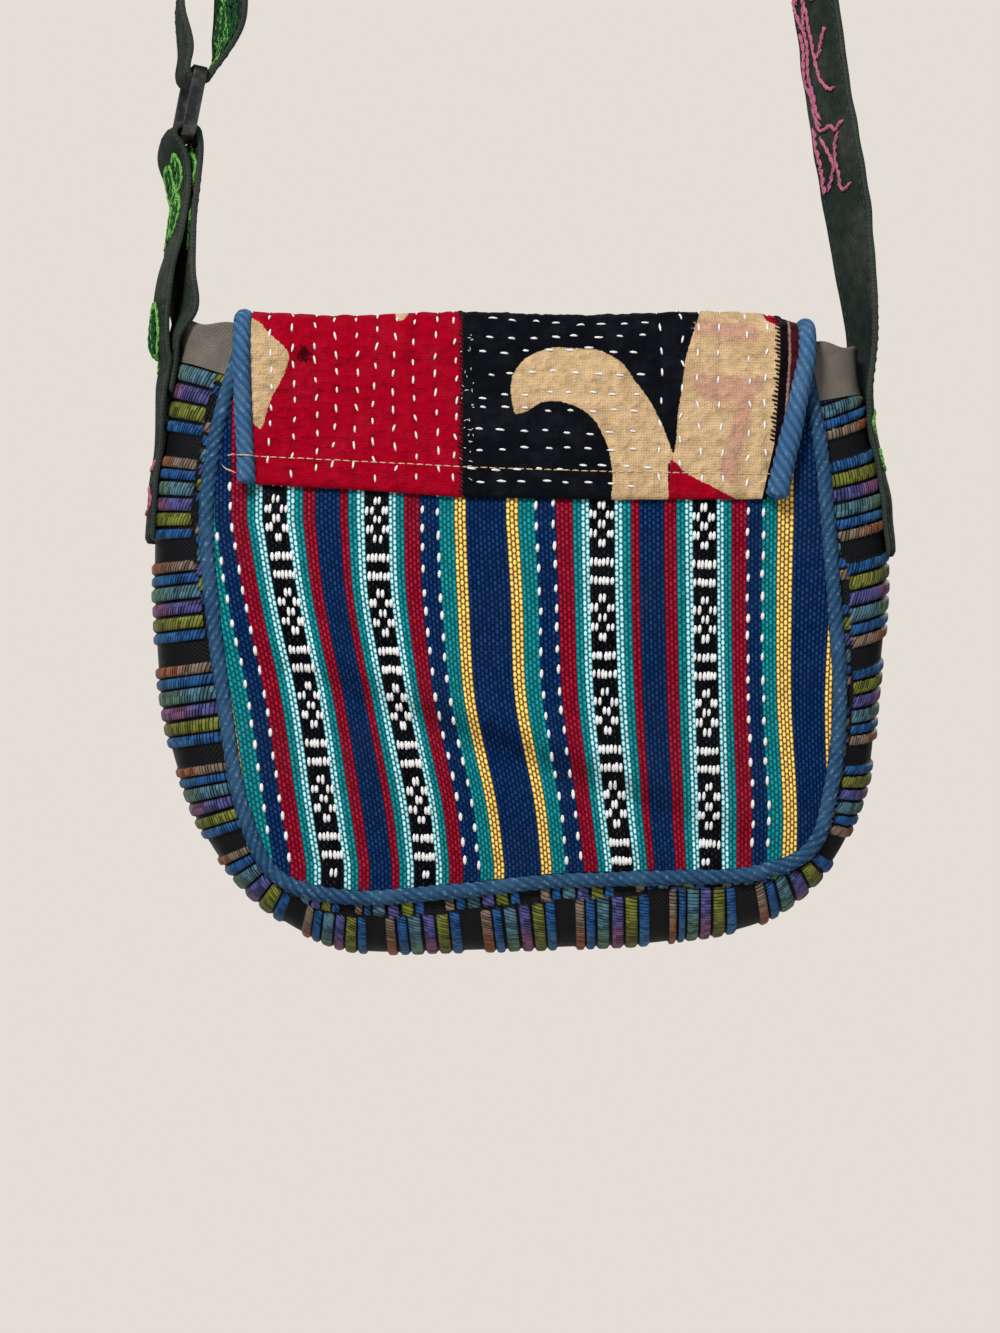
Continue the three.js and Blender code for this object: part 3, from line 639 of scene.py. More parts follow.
def panel_spot(across, down):
    """x and drop on a panel, from its shares across and down."""
    def inset(run):
        x, drop, out_x, out_drop, _ = seam_at(run)
        return pairs(x - out_x * PANEL_MARGIN, drop - out_drop * PANEL_MARGIN)

    top = MOUTH_LOWERED
    end = SEAM_LENGTH - MOUTH_LOWERED
    left_corner = seam_to("left corner")
    right_corner = seam_to("right corner")
    a = across[..., None]
    left = inset(top + (left_corner - top) * down)
    right = inset(end + (right_corner - end) * down)
    bottom = inset(left_corner + (right_corner - left_corner) * across)
    foot = inset(np.float64(left_corner)) * (1 - a) + inset(np.float64(right_corner)) * a
    spot = left * (1 - a) + right * a + (bottom - foot) * down[..., None]
    return spot[..., 0], spot[..., 1]


def back_surface(x, drop):
    wrinkles = WRINKLE * ripples(x, drop, 26, 3) * ease((drop - WRINKLES_FROM) / 20)
    return in_place(x, -(panel_face(x, drop) + creases(x, drop) + wrinkles), drop)


def front_surface(x, drop):
    return in_place(x, panel_face(x, drop) + WRINKLE * ripples(x, drop, 30, 4), drop)


# %% [markdown]
# ## Striped cloth
# The panels are hand-loom cotton. Narrow stripes run down it and repeat as in a mirror, so one half of the
# repeat is enough. On the shown side the cloth hangs askew, and a short table says where a few of its
# stripes run. Each thread float of the weave is an oval, set like bricks. The white figures in the black
# stripes and the white dashes beside the red ones are longer floats that stand proud, so they are real
# threads here.

# %% Where the stripes run
# Each ground is its stripe's colour darkened: painted shade in the gaps between the floats, over the weft's
# own colour.
WEAVE = {  # colour of the floats, and of the ground between them
    "navy": (colour(4, 42, 86), colour(5, 22, 54)),
    "teal": (colour(12, 126, 132), colour(8, 80, 86)),
    "red": (colour(136, 10, 36), colour(96, 5, 24)),
    "yellow": (colour(238, 194, 98), colour(80, 60, 36)),
    "aqua": (colour(158, 216, 222), colour(12, 80, 88)),
    "black": (colour(3, 5, 9), colour(5, 5, 7)),
}
STRIPES = [  # its weave, and where the stripe ends in mm from the middle of the navy
    ("navy", 6.6),
    ("yellow", 11.7),
    ("teal", 16.8),
    ("navy", 23.1),
    ("red", 28.9),
    ("teal", 31.7),
    ("aqua", 34.9),
    ("black", 43.2),
    ("aqua", 46.2),
    ("teal", 48.9),
    ("red", 52.0),
    ("navy", 56.4),
]
MIRROR = STRIPES[-1][1]
COURSE_ROWS = (520, 600, 700, 800, 865)
STRIPE_COURSES = [  # stripe, its mm from the middle of the flat cloth, its pixel column at each of those rows
    ("far left yellow", -103.6, (191, 203, 224, 239, 250)),
    ("left red", -86.8, (239.5, 253.5, 274.5, 289, 299)),
    ("first figures", -73.8, (276, 289, 310.5, 324, 334)),
    ("second figures", -39.0, (378, 381, 398, 419, 426)),
    ("left yellow", -9.15, (460, 463, 469.5, 490.5, 499)),
    ("right yellow", 9.15, (512, 517, 521, 539.5, 546.5)),
    ("third figures", 39.0, (601, 601.5, 605, 614, 622)),
    ("fourth figures", 73.8, (703.5, 704.5, 706, 708, 709)),
    ("third yellow", 103.6, (784.5, 783, 783.5, 789.5, 789)),
    ("far right yellow", 122.0, (844, 838, 832, 834, 838)),
]
WEFT_SLOPE = 0.02            # the rows of the weave run down to the right
stripe_places = np.array([row[1] for row in STRIPE_COURSES])
course_drops = picture_drop(COURSE_ROWS)
course_lines = [smooth_line(pairs(course_drops, picture_x(row[2])), 12, evenness=0)
                for row in STRIPE_COURSES]


def course_x(drop):
    """x of every charted stripe at each drop: stripes x drops."""
    return np.stack([np.interp(drop, line[:, 0], line[:, 1]) for line in course_lines])


def along_stripes(known, values, wanted):
    """Reads wanted off the line through known and values, row by row, and straight on past its ends."""
    spot = np.clip((known <= wanted).sum(axis=0), 1, len(known) - 1)
    each = np.arange(wanted.shape[0])
    low, high = known[spot - 1, each], known[spot, each]
    share = (wanted - low) / (high - low)
    return values[spot - 1, each] * (1 - share) + values[spot, each] * share


def cloth_from_bag(x, drop):
    places = np.repeat(stripe_places[:, None], len(x), axis=1)
    return along_stripes(course_x(drop), places, x)


def bag_from_cloth(place, drop):
    places = np.repeat(stripe_places[:, None], len(place), axis=1)
    return along_stripes(places, course_x(drop), place)


# %% The finish of the striped cloth
FLOAT_WIDE = 1.4
FLOAT_LONG = 2.05
FLOAT_HALF_SIDE = 0.47       # half sizes of the oval, as shares of its brick
FLOAT_HALF_END = 0.48


def striped_finish():
    finish, tree, shader = new_finish("striped_weave", 0.88, shine=0.03)
    across, along = split(tree, cloth_place(tree))
    column = calc(tree, "DIVIDE", across, FLOAT_WIDE)
    shift = times(tree, calc(tree, "PINGPONG", calc(tree, "FLOOR", column), 1.0), 0.5)
    row = calc(tree, "ADD", calc(tree, "DIVIDE", along, FLOAT_LONG), shift)
    side = calc(tree, "SUBTRACT", calc(tree, "FRACT", column), 0.5)
    end = calc(tree, "SUBTRACT", calc(tree, "FRACT", row), 0.5)
    side_share = calc(tree, "POWER", calc(tree, "ABSOLUTE", calc(tree, "DIVIDE", side, FLOAT_HALF_SIDE)), 2.0)
    end_share = calc(tree, "POWER", calc(tree, "ABSOLUTE", calc(tree, "DIVIDE", end, FLOAT_HALF_END)), 2.6)
    oval = calc(tree, "SUBTRACT", 1.0, calc(tree, "ADD", side_share, end_share))
    height = soft_step(tree, oval, -0.35, 0.9)
    chance = chance_of(tree, column, row)
    float_x = times(tree, calc(tree, "ADD", calc(tree, "FLOOR", column), 0.5), FLOAT_WIDE)
    stripe = calc(tree, "DIVIDE", calc(tree, "PINGPONG", float_x, MIRROR), MIRROR)
    starts = [0.0] + [end / MIRROR for _, end in STRIPES[:-1]]
    floats = bands(tree, stripe, starts, [WEAVE[name][0] for name, _ in STRIPES])
    ground = bands(tree, stripe, starts, [WEAVE[name][1] for name, _ in STRIPES])
    # Each float's crest is painted lighter, as a painted highlight, on top of its random tone.
    painted_crest_highlight = times(tree, soft_step(tree, oval, 0.2, 1.0), 0.62)
    shade = calc(tree, "ADD", calc(tree, "MULTIPLY_ADD", chance, 0.36, 0.36), painted_crest_highlight)
    shaded = scaled(tree, floats, shade)
    # Between the floats the darker ground shows, as painted shade in the gaps.
    woven = blend(tree, soft_step(tree, oval, -0.12, 0.28), ground, shaded)
    # A faint pale painted glint on each float's crest.
    painted_glint = times(tree, soft_step(tree, oval, 0.45, 1.0), times(tree, chance, 0.025))
    woven = blend(tree, painted_glint, woven, colour(186, 198, 208))
    faded = cloth_wear(tree, 34.0)
    soil = times(tree, faded, 0.06)
    give_colour(tree, shader, blend(tree, soil, woven, colour(56, 58, 66)))
    give_relief(tree, shader, height, 0.32)
    return finish


striped_weave = striped_finish()

# %% The two panels
PANEL_COLUMNS = 150
PANEL_ROWS = 140
PANEL_CLOTH = 2.0


def make_panel(name, node, surface, across_cloth):
    piece, across, down = lay_cloth(
        name, PANEL_COLUMNS, PANEL_ROWS, lambda a, d: surface(*panel_spot(a, d)))
    x, drop = panel_spot(across, down)
    set_cloth_place(piece, across_cloth(x, drop), drop - WEFT_SLOPE * x)
    face_away(piece)
    thicken(piece, PANEL_CLOTH)
    dress(piece, striped_weave, "striped_weave", node)
    return piece


back_panel = make_panel("back_panel_cloth", "back_panel", back_surface, cloth_from_bag)
front_panel = make_panel("front_panel_cloth", "front_panel", front_surface, lambda x, drop: -x)

# %% White floats: figures in the black stripes, and dashes
FIGURE_ROW = 3.26            # mm between rows of a figure
FIGURE_REPEAT = 31.6
FIGURE_FIRST_DROP = 65.0
FIGURE_REPEATS = range(-3, 6)
FLOAT_LENGTH = 3.2
PAIR = (-0.75, 0.75)
SIDES = (-3.5, -2.1, 2.1, 3.5)
BAR = (-3.5, -2.1, -0.7, 0.7, 2.1, 3.5)
FIGURE = [  # row, where its white floats lie across the black stripe
    (0.0, PAIR),
    (1.0, SIDES),
    (2.0, PAIR),
    (3.0, SIDES),
    (4.0, PAIR),
    (5.95, BAR),
    (7.85, BAR),
]
FIGURE_STRIPES = (-73.8, -39.0, 39.0, 73.8)
DASH_STRIPES = (-95.6, -89.9, -22.9, -17.2, 17.2, 22.9, 89.9, 95.6)
DASH_REPEAT = 7.0
FLOAT_SLANT = 0.35           # mm that a float leans to the right over its length
EDGE_CLEAR = 0.8


def inside_panel(x, drop, clear):
    """Which places lie on a panel, so far inside its edge."""
    runs = np.linspace(0, SEAM_LENGTH, 240)
    edge_x, edge_drop, out_x, out_drop, _ = seam_at(runs)
    away = pairs(x[:, None] - edge_x, drop[:, None] - edge_drop)
    nearest = np.argmin(np.sum(away ** 2, axis=-1), axis=1)
    each = np.arange(len(x))
    outward = away[each, nearest, 0] * out_x[nearest] + away[each, nearest, 1] * out_drop[nearest]
    return outward < -(PIPING_RADIUS + clear)


def float_places(first_drop, last_drop, seed):
    """Places on the flat cloth and drops of the middles of all white floats."""
    draw = np.random.default_rng(seed)
    places = []
    for stripe in FIGURE_STRIPES:
        for repeat in FIGURE_REPEATS:
            for row, lies in FIGURE:
                drop = FIGURE_FIRST_DROP + repeat * FIGURE_REPEAT + row * FIGURE_ROW
                places += [(stripe + across, drop) for across in lies]
    for stripe in DASH_STRIPES:
        start = draw.uniform(0, DASH_REPEAT)
        for drop in np.arange(first_drop + start, last_drop, DASH_REPEAT):
            places.append((stripe, drop + draw.uniform(-0.8, 0.8)))
    places = np.array(places)
    places += draw.normal(0, 0.12, places.shape)
    keep = (places[:, 1] > first_drop) & (places[:, 1] < last_drop)
    return places[keep], draw


def white_floats(name, surface, way, to_bag, first_drop, last_drop, seed):
    places, draw = float_places(first_drop, last_drop, seed)
    half = FLOAT_LENGTH / 2 * draw.uniform(0.85, 1.12, len(places))
    ends = []
    for sign in (-1, 1):
        cloth = places[:, 0] - sign * FLOAT_SLANT / 2
        drop = places[:, 1] + sign * half
        x = to_bag(cloth, drop)
        ends.append(pairs(x, drop + WEFT_SLOPE * x))
    keep = inside_panel(ends[0][:, 0], ends[0][:, 1], EDGE_CLEAR)
    keep &= inside_panel(ends[1][:, 0], ends[1][:, 1], EDGE_CLEAR)
    lines, normals = stitch_lines(surface, way, ends[0][keep], ends[1][keep], 0.7)
    width = draw.uniform(1.1, 1.42, keep.sum())
    return sew(name, lines, normals, width, 0.75, white_thread, "striped_weave")


SHOWN_FROM = 57.0
FRONT_SHOWN_FROM = 150.0
SHOWN_TO = 200.0
back_floats = white_floats("back_white_floats", back_surface, -1, bag_from_cloth, SHOWN_FROM, SHOWN_TO, 11)
front_floats = white_floats(
    "front_white_floats", front_surface, 1, lambda place, drop: -place, FRONT_SHOWN_FROM, SHOWN_TO, 12)

# %% [markdown]
# ## Corded piping
# Piping is a strip of twill sewn round a cord. The twill's ridges wind round it, so the tube is a grid whose
# points stand a little higher on the ridges. The grid is bent round the path with a frame that never twists,
# its two long edges are merged, and both ends close in a small dome.

# %% A corded tube along a path
RIDGE_PITCH = 3.8            # mm from ridge to ridge along the piping
RIDGE_HEIGHT = 0.22
CORD_STEP = 0.6
CORD_SIDES = 22
END_DOME = 1.6
CORD_SLACK = 0.12
OPENED_LENGTH = 56.0


def steady_frames(line):
    """Two directions square to a line that turn with it and never spin round it."""
    heading = unit(np.gradient(line, axis=0))
    side = np.zeros_like(line)
    start = np.cross(heading[0], (0.3, 1.0, 0.1))
    side[0] = start / np.linalg.norm(start)
    for k in range(1, len(line)):
        kept = side[k - 1] - heading[k] * np.dot(side[k - 1], heading[k])
        side[k] = kept / np.linalg.norm(kept)
    return side, np.cross(heading, side)


def lay_cord(name, path, radius, turns, finish, slot, node, opened=0.0):
    """Piping along a path in mm, with so many ridges round it: turns is negative for the other hand.

    Opened is the share by which its last stretch is thicker."""
    line = evenly(path, CORD_STEP)
    rows = len(line) - 1
    run = run_along(line)
    side, up = steady_frames(line)

    def ridge_phase(across, down):
        return run[np.rint(down * rows).astype(int)] / RIDGE_PITCH + turns * across

    def place(across, down):
        spot = np.rint(down * rows).astype(int)
        angle = 2 * math.pi * across
        to_end = np.minimum(run[spot], run[-1] - run[spot])
        dome = quarter_round(1 - to_end / END_DOME)
        ridge = RIDGE_HEIGHT * np.cos(2 * math.pi * ridge_phase(across, down))
        slack = CORD_SLACK * ripples(run[spot], angle * 3, 24, 8)
        wider = 1 + opened * ease(1 - (run[-1] - run[spot]) / OPENED_LENGTH)
        reach = ((radius * wider - RIDGE_HEIGHT + ridge + slack) * dome)[:, None]
        return line[spot] + reach * (np.cos(angle)[:, None] * side[spot] + np.sin(angle)[:, None] * up[spot])

    piece, across, down = lay_cloth(name, CORD_SIDES, rows, place)
    set_cloth_place(piece, ridge_phase(across, down), down * run[-1])
    close_skin(merge=0.01)
    dress(piece, finish, slot, node)
    return piece


# %% The finish of the piping
def piping_finish(name, painted_valley_shade, raised, faded):
    finish, tree, shader = new_finish(name, 0.86)
    phase, _ = split(tree, cloth_place(tree))
    wave = calc(tree, "COSINE", times(tree, phase, 2 * math.pi))
    ridge = calc(tree, "MULTIPLY_ADD", wave, 0.5, 0.5)
    fine = calc(tree, "COSINE", times(tree, phase, 10 * math.pi))
    spots = speckle(tree, object_place(tree), 0.5)
    # The ridges' crests are painted lighter and their valleys darker, as painted light and shade on the
    # ridges.
    twill = blend(tree, soft_step(tree, ridge, -0.4, 1.15), painted_valley_shade, raised)
    fade = cloth_wear(tree, 16.0)
    worn = blend(tree, times(tree, fade, 0.55), twill, faded)
    speckled = blend(tree, times(tree, spots, 0.52), worn, colour(28, 54, 88))
    rubs = soft_step(tree, speckle(tree, object_place(tree), 1.3), 0.5, 0.72)
    chafed = times(tree, rubs, ridge)
    speckled = blend(tree, times(tree, chafed, 0.46), speckled, colour(126, 162, 188))
    give_colour(tree, shader, speckled)
    height = calc(tree, "ADD", times(tree, fine, 0.3), spots)
    give_relief(tree, shader, height, 0.22)
    return finish


# Each piping's first two colours are painted shade in the valleys and painted light on the crests of its
# ridges.
dark_twill = piping_finish(
    "dark_piping_twill", colour(22, 50, 78), colour(46, 82, 113), colour(66, 102, 130))
pale_twill = piping_finish(
    "pale_piping_twill", colour(40, 74, 110), colour(68, 108, 146), colour(92, 128, 158))

# %% Piping round both panels
def panel_piping_path(way):
    x, drop, *_ = seam_at(np.linspace(MOUTH_LOWERED, SEAM_LENGTH - MOUTH_LOWERED, 400))
    return in_place(x, way * half_depth(drop), drop)


back_piping = lay_cord("back_piping_cord", panel_piping_path(-1), PIPING_RADIUS, -5,
                       dark_twill, "piping_twill", "back_piping")
front_piping = lay_cord("front_piping_cord", panel_piping_path(1), PIPING_RADIUS, -5,
                        dark_twill, "piping_twill", "front_piping")

# %% [markdown]
# ## The ribbed band
# The band round the sides and bottom is woven with thick bundles of thread that stand up as ribs, with flat
# black stretches between. Each rib is wound with shiny thread that changes shade along its length. The ribs
# are in the mesh. The single threads are too fine for that and are relief in the finish. Along parts of the
# band a narrow row of the next repeat shows beside the piping, and up the right side the ribs lean.

# %% Ribs along the band
RIBS = [  # thread, its other shade, width in mm, 1 if it is raised
    (colour(68, 102, 116), colour(80, 108, 92), 5.6, 1),
    (colour(72, 72, 124), colour(116, 76, 106), 5.0, 1),
    (colour(104, 108, 42), colour(94, 96, 44), 5.2, 1),
    (colour(28, 74, 126), colour(46, 92, 134), 4.1, 1),
    (colour(10, 11, 14), colour(10, 11, 14), 7.0, 0),
    (colour(114, 98, 84), colour(138, 84, 58), 4.2, 1),
    (colour(28, 74, 126), colour(44, 90, 132), 3.9, 1),
]
RIB_HEIGHT = 1.2
RIB_FILL = 0.84              # share of its width that a rib fills; the rest is bare ground
HEM_LENGTH_LEFT = 14.0
HEM_LENGTH_RIGHT = 19.5
GUSSET_SQUARENESS = 0.8
BAND_STEPS = (0.5, 0.01)     # small steps along and across, to find which way it faces
GUSSET_SET_IN = 1.0
SEAM_MARGIN = 4.0
GUSSET_TUCK = 2.5            # the band's edges are tucked against the piping
SIDE_ROW = [  # share of the band's length, width of the shifted row that shows beside each piping there
    (0.0, 1.6), (0.12, 1.2), (0.2, -0.6), (0.34, -0.6), (0.37, 2.2), (0.42, 3.2), (0.55, 2.6), (0.62, 0.6),
    (0.75, 0.6), (0.84, 1.6), (0.89, 2.0), (0.92, -0.6), (1.0, -0.6),
]
SIDE_ROW_SHIFT = 12.6
THREAD_PITCH = 1.0
THREAD_LEAN = 0.22           # slope of the winding threads
RIB_LEAN = 0.18              # slope of the ribs across the band, up its right side
RIB_LEAN_FROM = 0.66         # share of the band's length where they start to lean
RIB_LEAN_OVER = 0.14
RIB_LEAN_ABOUT = 0.8         # share across the band where a leaning rib stays in place
GROOVE = 0.9                 # a rib sinks over this length where the rows meet
BLACK_BANDS = [  # pixel column and row of the middle of every flat black stretch, from the left mouth round
    (190, 448), (170, 551), (175, 655), (188, 757), (223, 845), (294, 920), (375, 928), (472, 928),
    (566, 914), (661, 912), (746, 899), (832, 847), (861, 753), (869, 655), (873, 546), (852, 442),
]
rib_widths = np.array([row[2] for row in RIBS])
rib_raised = np.array([row[3] for row in RIBS])
rib_starts = np.concatenate([[0.0], np.cumsum(rib_widths)])
RIB_REPEAT = rib_starts[-1]


def gusset_point(run, share, start):
    """A point of the band: share goes from the front seam, 0, to the shown one, 1."""
    x, drop, out_x, out_drop, bulge = seam_at(run)
    depth, swell = squared_arc(share, GUSSET_SQUARENESS)
    out = start + (bulge - RIB_HEIGHT - start) * swell
    return in_place(x + out_x * out, (half_depth(drop) - GUSSET_SET_IN) * depth, drop + out_drop * out)


def gusset_surface(run, share):
    return gusset_point(run, share, GUSSET_TUCK)


def gusset_width(run):
    """Width of the band's cloth from seam to seam, at each length along it."""
    marks = np.linspace(-10, SEAM_LENGTH + 10, 120)
    shares = np.linspace(0, 1, 60)
    points = gusset_surface(marks[:, None], shares[None, :])
    widths = np.linalg.norm(np.diff(points, axis=1), axis=-1).sum(axis=1)
    return np.interp(run, marks, widths)


def rib_profile(along):
    """0 between ribs and on the flat bands, 1 on top of a rib."""
    spot = np.mod(along, RIB_REPEAT)
    which = np.clip(np.searchsorted(rib_starts, spot, side="right") - 1, 0, len(RIBS) - 1)
    share = (spot - rib_starts[which]) / rib_widths[which]
    return rib_raised[which] * np.sqrt(np.clip(1 - ((2 * share - 1) / RIB_FILL) ** 4, 0, 1))


# %% The finish of the ribbed band
def ribbed_finish():
    finish, tree, shader = new_finish("ribbed_weave", 0.6, shine=0.12)
    across, along = split(tree, cloth_place(tree))
    past_row = stored(tree, "past_row")
    in_side_row = calc(tree, "LESS_THAN", past_row, 0.0)
    shifted = calc(tree, "ADD", along, times(tree, in_side_row, SIDE_ROW_SHIFT))
    spot = calc(tree, "DIVIDE", calc(tree, "WRAP", shifted, RIB_REPEAT, 0.0), RIB_REPEAT)
    starts = rib_starts[:-1] / RIB_REPEAT
    first = bands(tree, spot, starts, [row[0] for row in RIBS])
    second = bands(tree, spot, starts, [row[1] for row in RIBS])
    lean = times(tree, shifted, THREAD_LEAN)
    thread = calc(tree, "DIVIDE", calc(tree, "ADD", across, lean), THREAD_PITCH)
    chance = chance_of(tree, thread, times(tree, spot, 2 * len(RIBS)))
    patches = speckle(tree, object_place(tree), 6.0)
    drift = soft_step(tree, calc(tree, "MULTIPLY_ADD", patches, 14.0, past_row), 13.0, 21.0)
    dyed = blend(tree, drift, first, second)
    # The wound threads are painted darker toward their edges, as painted shade in the slits between them;
    # each thread also has its own random tone.
    fibre = thread_round(tree, thread)
    slit = calc(tree, "MULTIPLY_ADD", calc(tree, "POWER", chance, 1.5), 0.75, 0.34)
    wound = soft_step(tree, fibre, 0.0, slit)
    dulled = calc(tree, "MULTIPLY_ADD", chance, -0.62, 1.12)
    shade = times(tree, dulled, calc(tree, "MULTIPLY_ADD", wound, 0.93, 0.07))
    lit = scaled(tree, dyed, shade)
    rib = stored(tree, "rib")
    raised = calc(tree, "GREATER_THAN", stored(tree, "raised"), 0.5)
    covered = soft_step(tree, rib, 0.2, 0.55)
    ribbed = blend(tree, times(tree, covered, raised), colour(8, 9, 12), lit)
    give_colour(tree, shader, ribbed)
    weave = cloth_weave(tree, 0.7)
    flat = times(tree, weave, calc(tree, "SUBTRACT", 1.0, raised))
    height = calc(tree, "MULTIPLY_ADD", wound, raised, times(tree, flat, 0.4))
    give_relief(tree, shader, height, 0.45)
    return finish


ribbed_weave = ribbed_finish()

# %% The band itself
GUSSET_COLUMNS = 40
GUSSET_ROWS = 900
GUSSET_CLOTH = 2.0
gusset_start = HEM_LENGTH_LEFT
gusset_end = SEAM_LENGTH - HEM_LENGTH_RIGHT


def rib_places():
    """Lengths along the seam, and the lengths of ribbed cloth that lie there."""
    columns, rows = np.array(BLACK_BANDS, float).T
    aside = picture_x(columns)[:, None] - seam_line[:, 0]
    away = np.hypot(aside, picture_drop(rows)[:, None] - seam_line[:, 1])
    runs = seam_run[np.argmin(away, axis=1)]
    black = [row[3] for row in RIBS].index(0)
    cloth = rib_starts[black] + rib_widths[black] / 2 + RIB_REPEAT * np.arange(len(runs))
    end = cloth[-1] + rib_widths[black] / 2 + rib_widths[black + 1:].sum() + rib_widths[0]
    past = 15.0
    runs = np.concatenate([[gusset_start - past, gusset_start], runs, [gusset_end, gusset_end + past]])
    return runs, np.concatenate([[-past, 0.0], cloth, [end, end + past]])


rib_runs, rib_cloth = rib_places()


def gusset_ribs(across, down):
    """Run along the seam, place along the ribs, distance past the side row, and height of the rib there."""
    run = gusset_start + (gusset_end - gusset_start) * down
    width = gusset_width(run)
    lean = RIB_LEAN * ease((down - RIB_LEAN_FROM) / RIB_LEAN_OVER) * (RIB_LEAN_ABOUT - across) * width
    along = np.interp(run - lean, rib_runs, rib_cloth)
    past_row = np.minimum(across, 1 - across) * width - np.interp(down, *np.array(SIDE_ROW).T)
    shift = np.where(past_row < 0, SIDE_ROW_SHIFT, 0.0)
    groove = np.clip(np.abs(past_row) / GROOVE, 0, 1)
    ends = np.clip(np.minimum(run - gusset_start, gusset_end - run) / 0.8, 0, 1)
    rib = rib_profile(along + shift) * groove * ends
    return run, along, past_row, rib, rib_profile(along + shift) > 0.02


def place_gusset(across, down):
    run, _, _, rib, _ = gusset_ribs(across, down)
    points, normals = with_normals(gusset_surface, run, across, BAND_STEPS)
    uneven = 1 + 0.12 * ripples(run, across * 50, 9, 21)
    return points + normals * (RIB_HEIGHT * rib * uneven)[:, None]


gusset, band_across, band_down = lay_cloth("gusset_band", GUSSET_COLUMNS, GUSSET_ROWS, place_gusset)
band_run, band_along, band_past, band_rib, band_raised = gusset_ribs(band_across, band_down)
set_cloth_place(gusset, band_across * gusset_width(band_run), band_along)
store(gusset, "past_row", band_past)
store(gusset, "rib", band_rib)
store(gusset, "raised", band_raised)
face_away(gusset)
thicken(gusset, GUSSET_CLOTH)
dress(gusset, ribbed_weave, "ribbed_weave", "gusset")

# %% [markdown]
# ## Grey hems
# The two top ends of the band are bound with plain grey cotton, turned over and a little wavy at the fold.
# They could be coloured ends of the band, but their cloth is thicker and flares, so each is a grid of its
# own that is laid over the same bulging shape.

# %% Hem cloth and the two hems
def plain_cotton(name, shade, faded, pitch, fade_size):
    """Plain woven cotton with a fine weave, painted shade between its threads, and faded patches."""
    finish, tree, shader = new_finish(name, 0.92)
    weave = cloth_weave(tree, pitch)
    fade = cloth_wear(tree, fade_size)
    worn = blend(tree, fade, shade, faded)
    # Between the threads the cloth is painted darker, as painted shade in the weave's hollows.
    dark = (*(0.62 * c for c in shade[:3]), 1.0)
    shown = blend(tree, soft_step(tree, weave, 0.0, 0.7), dark, worn)
    give_colour(tree, shader, shown)
    give_relief(tree, shader, weave, 0.14)
    return finish


hem_cotton = plain_cotton("hem_cotton", colour(104, 98, 89), colour(120, 113, 104), 0.6, 9.0)
HEM_COLUMNS = 70
HEM_ROWS = 30
HEM_WIDE = 60.0
HEM_RISE_LEFT = 4.0
HEM_RISE_RIGHT = 1.0
HEM_CLEAR = 0.6
HEM_CLOTH = 2.4
HEM_FOLD = 1.0
HEM_FLARE = 2.6
HEM_DIP = 4.5                # the top edge is lower at the outside of the bulge


def make_hem(name, node, first, last, top_first, seed):
    def place(across, down):
        to_top = 1 - down if top_first else down
        wave = 0.8 * np.sin(across * 19 + seed) + HEM_DIP * np.sin(math.pi * across)
        run = first + (last - first) * down + wave * ease(to_top) * (1 if top_first else -1)
        start = GUSSET_TUCK + HEM_CLEAR * to_top

        def bound(run, share):
            return gusset_point(run, share, start)

        points, normals = with_normals(bound, run, across, BAND_STEPS)
        rolled = HEM_FOLD * (1 - quarter_round((to_top - 0.9) / 0.1))
        puff = 0.25 * ripples(run, across * 45, 10, seed)
        flare = HEM_FLARE * to_top ** 2.5 * np.sin(math.pi * across)
        return points + normals * (RIB_HEIGHT / 2 + puff + flare - rolled)[:, None]

    piece, across, down = lay_cloth(name, HEM_COLUMNS, HEM_ROWS, place)
    set_cloth_place(piece, across * HEM_WIDE, first + (last - first) * down)
    face_away(piece)
    thicken(piece, HEM_CLOTH)
    dress(piece, hem_cotton, "hem_cloth", node)
    return piece


left_hem = make_hem("gusset_hem_left_cloth", "gusset_hem_left",
                    -HEM_RISE_LEFT, HEM_LENGTH_LEFT, True, 5)
right_hem = make_hem("gusset_hem_right_cloth", "gusset_hem_right",
                     SEAM_LENGTH - HEM_LENGTH_RIGHT, SEAM_LENGTH + HEM_RISE_RIGHT, False, 6)

# %% [markdown]
# ## The quilted flap
# The flap is sewn to the shown panel, folds over the mouth and hangs down the other side. It is measured by
# x and by the way along it from the sewn edge. Three cloths lie side by side, and rows of running stitch
# pull small dents into them. On the folded-over side the stitching goes on plainly.

# %% How the flap lies
FLAP_SEWN_DROP = 60.0
FLAP_SEWN_SLOPE = 0.02
FLAP_SAG = [  # x, and how many mm lower the sewn edge hangs there
    (-94, 0.2), (-55, 1.6), (-21, 3.4), (30, 3.2), (83, 1.8),
]
FLAP_SPRING = 16.0           # below this drop the flap lies along the panels
FLAP_CREST = -0.6
FLAP_WAVE = 0.6
FLAP_FALL = 3.2              # the fold is this much lower at its right end
FALL_FROM = 80
FALL_OVER = 15
FLAP_SQUARENESS = 0.77
FLAP_EDGE_DEPTH = 20.4
FLAP_EDGE_WIDTH = 24.0
FLAP_END_DROP = 165.0
FLAP_CORNER = 40.0
FLAP_CLEAR = 0.7
FLAP_PIPING_RADIUS = 3.2
FLAP_MARGIN = 3.1            # the patches end this far inside the middle of the piping
QUILT_CLOTH = 2.0
RED_SEAM = -20.4
STRIP_NARROWEST = 1.6
STRIP_END_DROP = 141.0
FLAP_SIDES = [  # drop, share of the turn over the mouth, left edge, right edge, seam of the dark strip
    (60, 0, -93.6, 85.6, 83.2),
    (38, 0, -94.6, 91.0, 85.6),
    (16, 0, -95.4, 96.2, 87.4),
    (16, 1, -95.9, 97.8, 87.4),
    (90, 1, -94.5, 95.4, 87.0),
    (165, 1, -93.0, 93.5, 87.0),
]
BACK_DROPS = np.linspace(FLAP_SEWN_DROP, FLAP_SPRING, 45)
ARCH_TURNS = np.linspace(0, 1, 61)[1:]
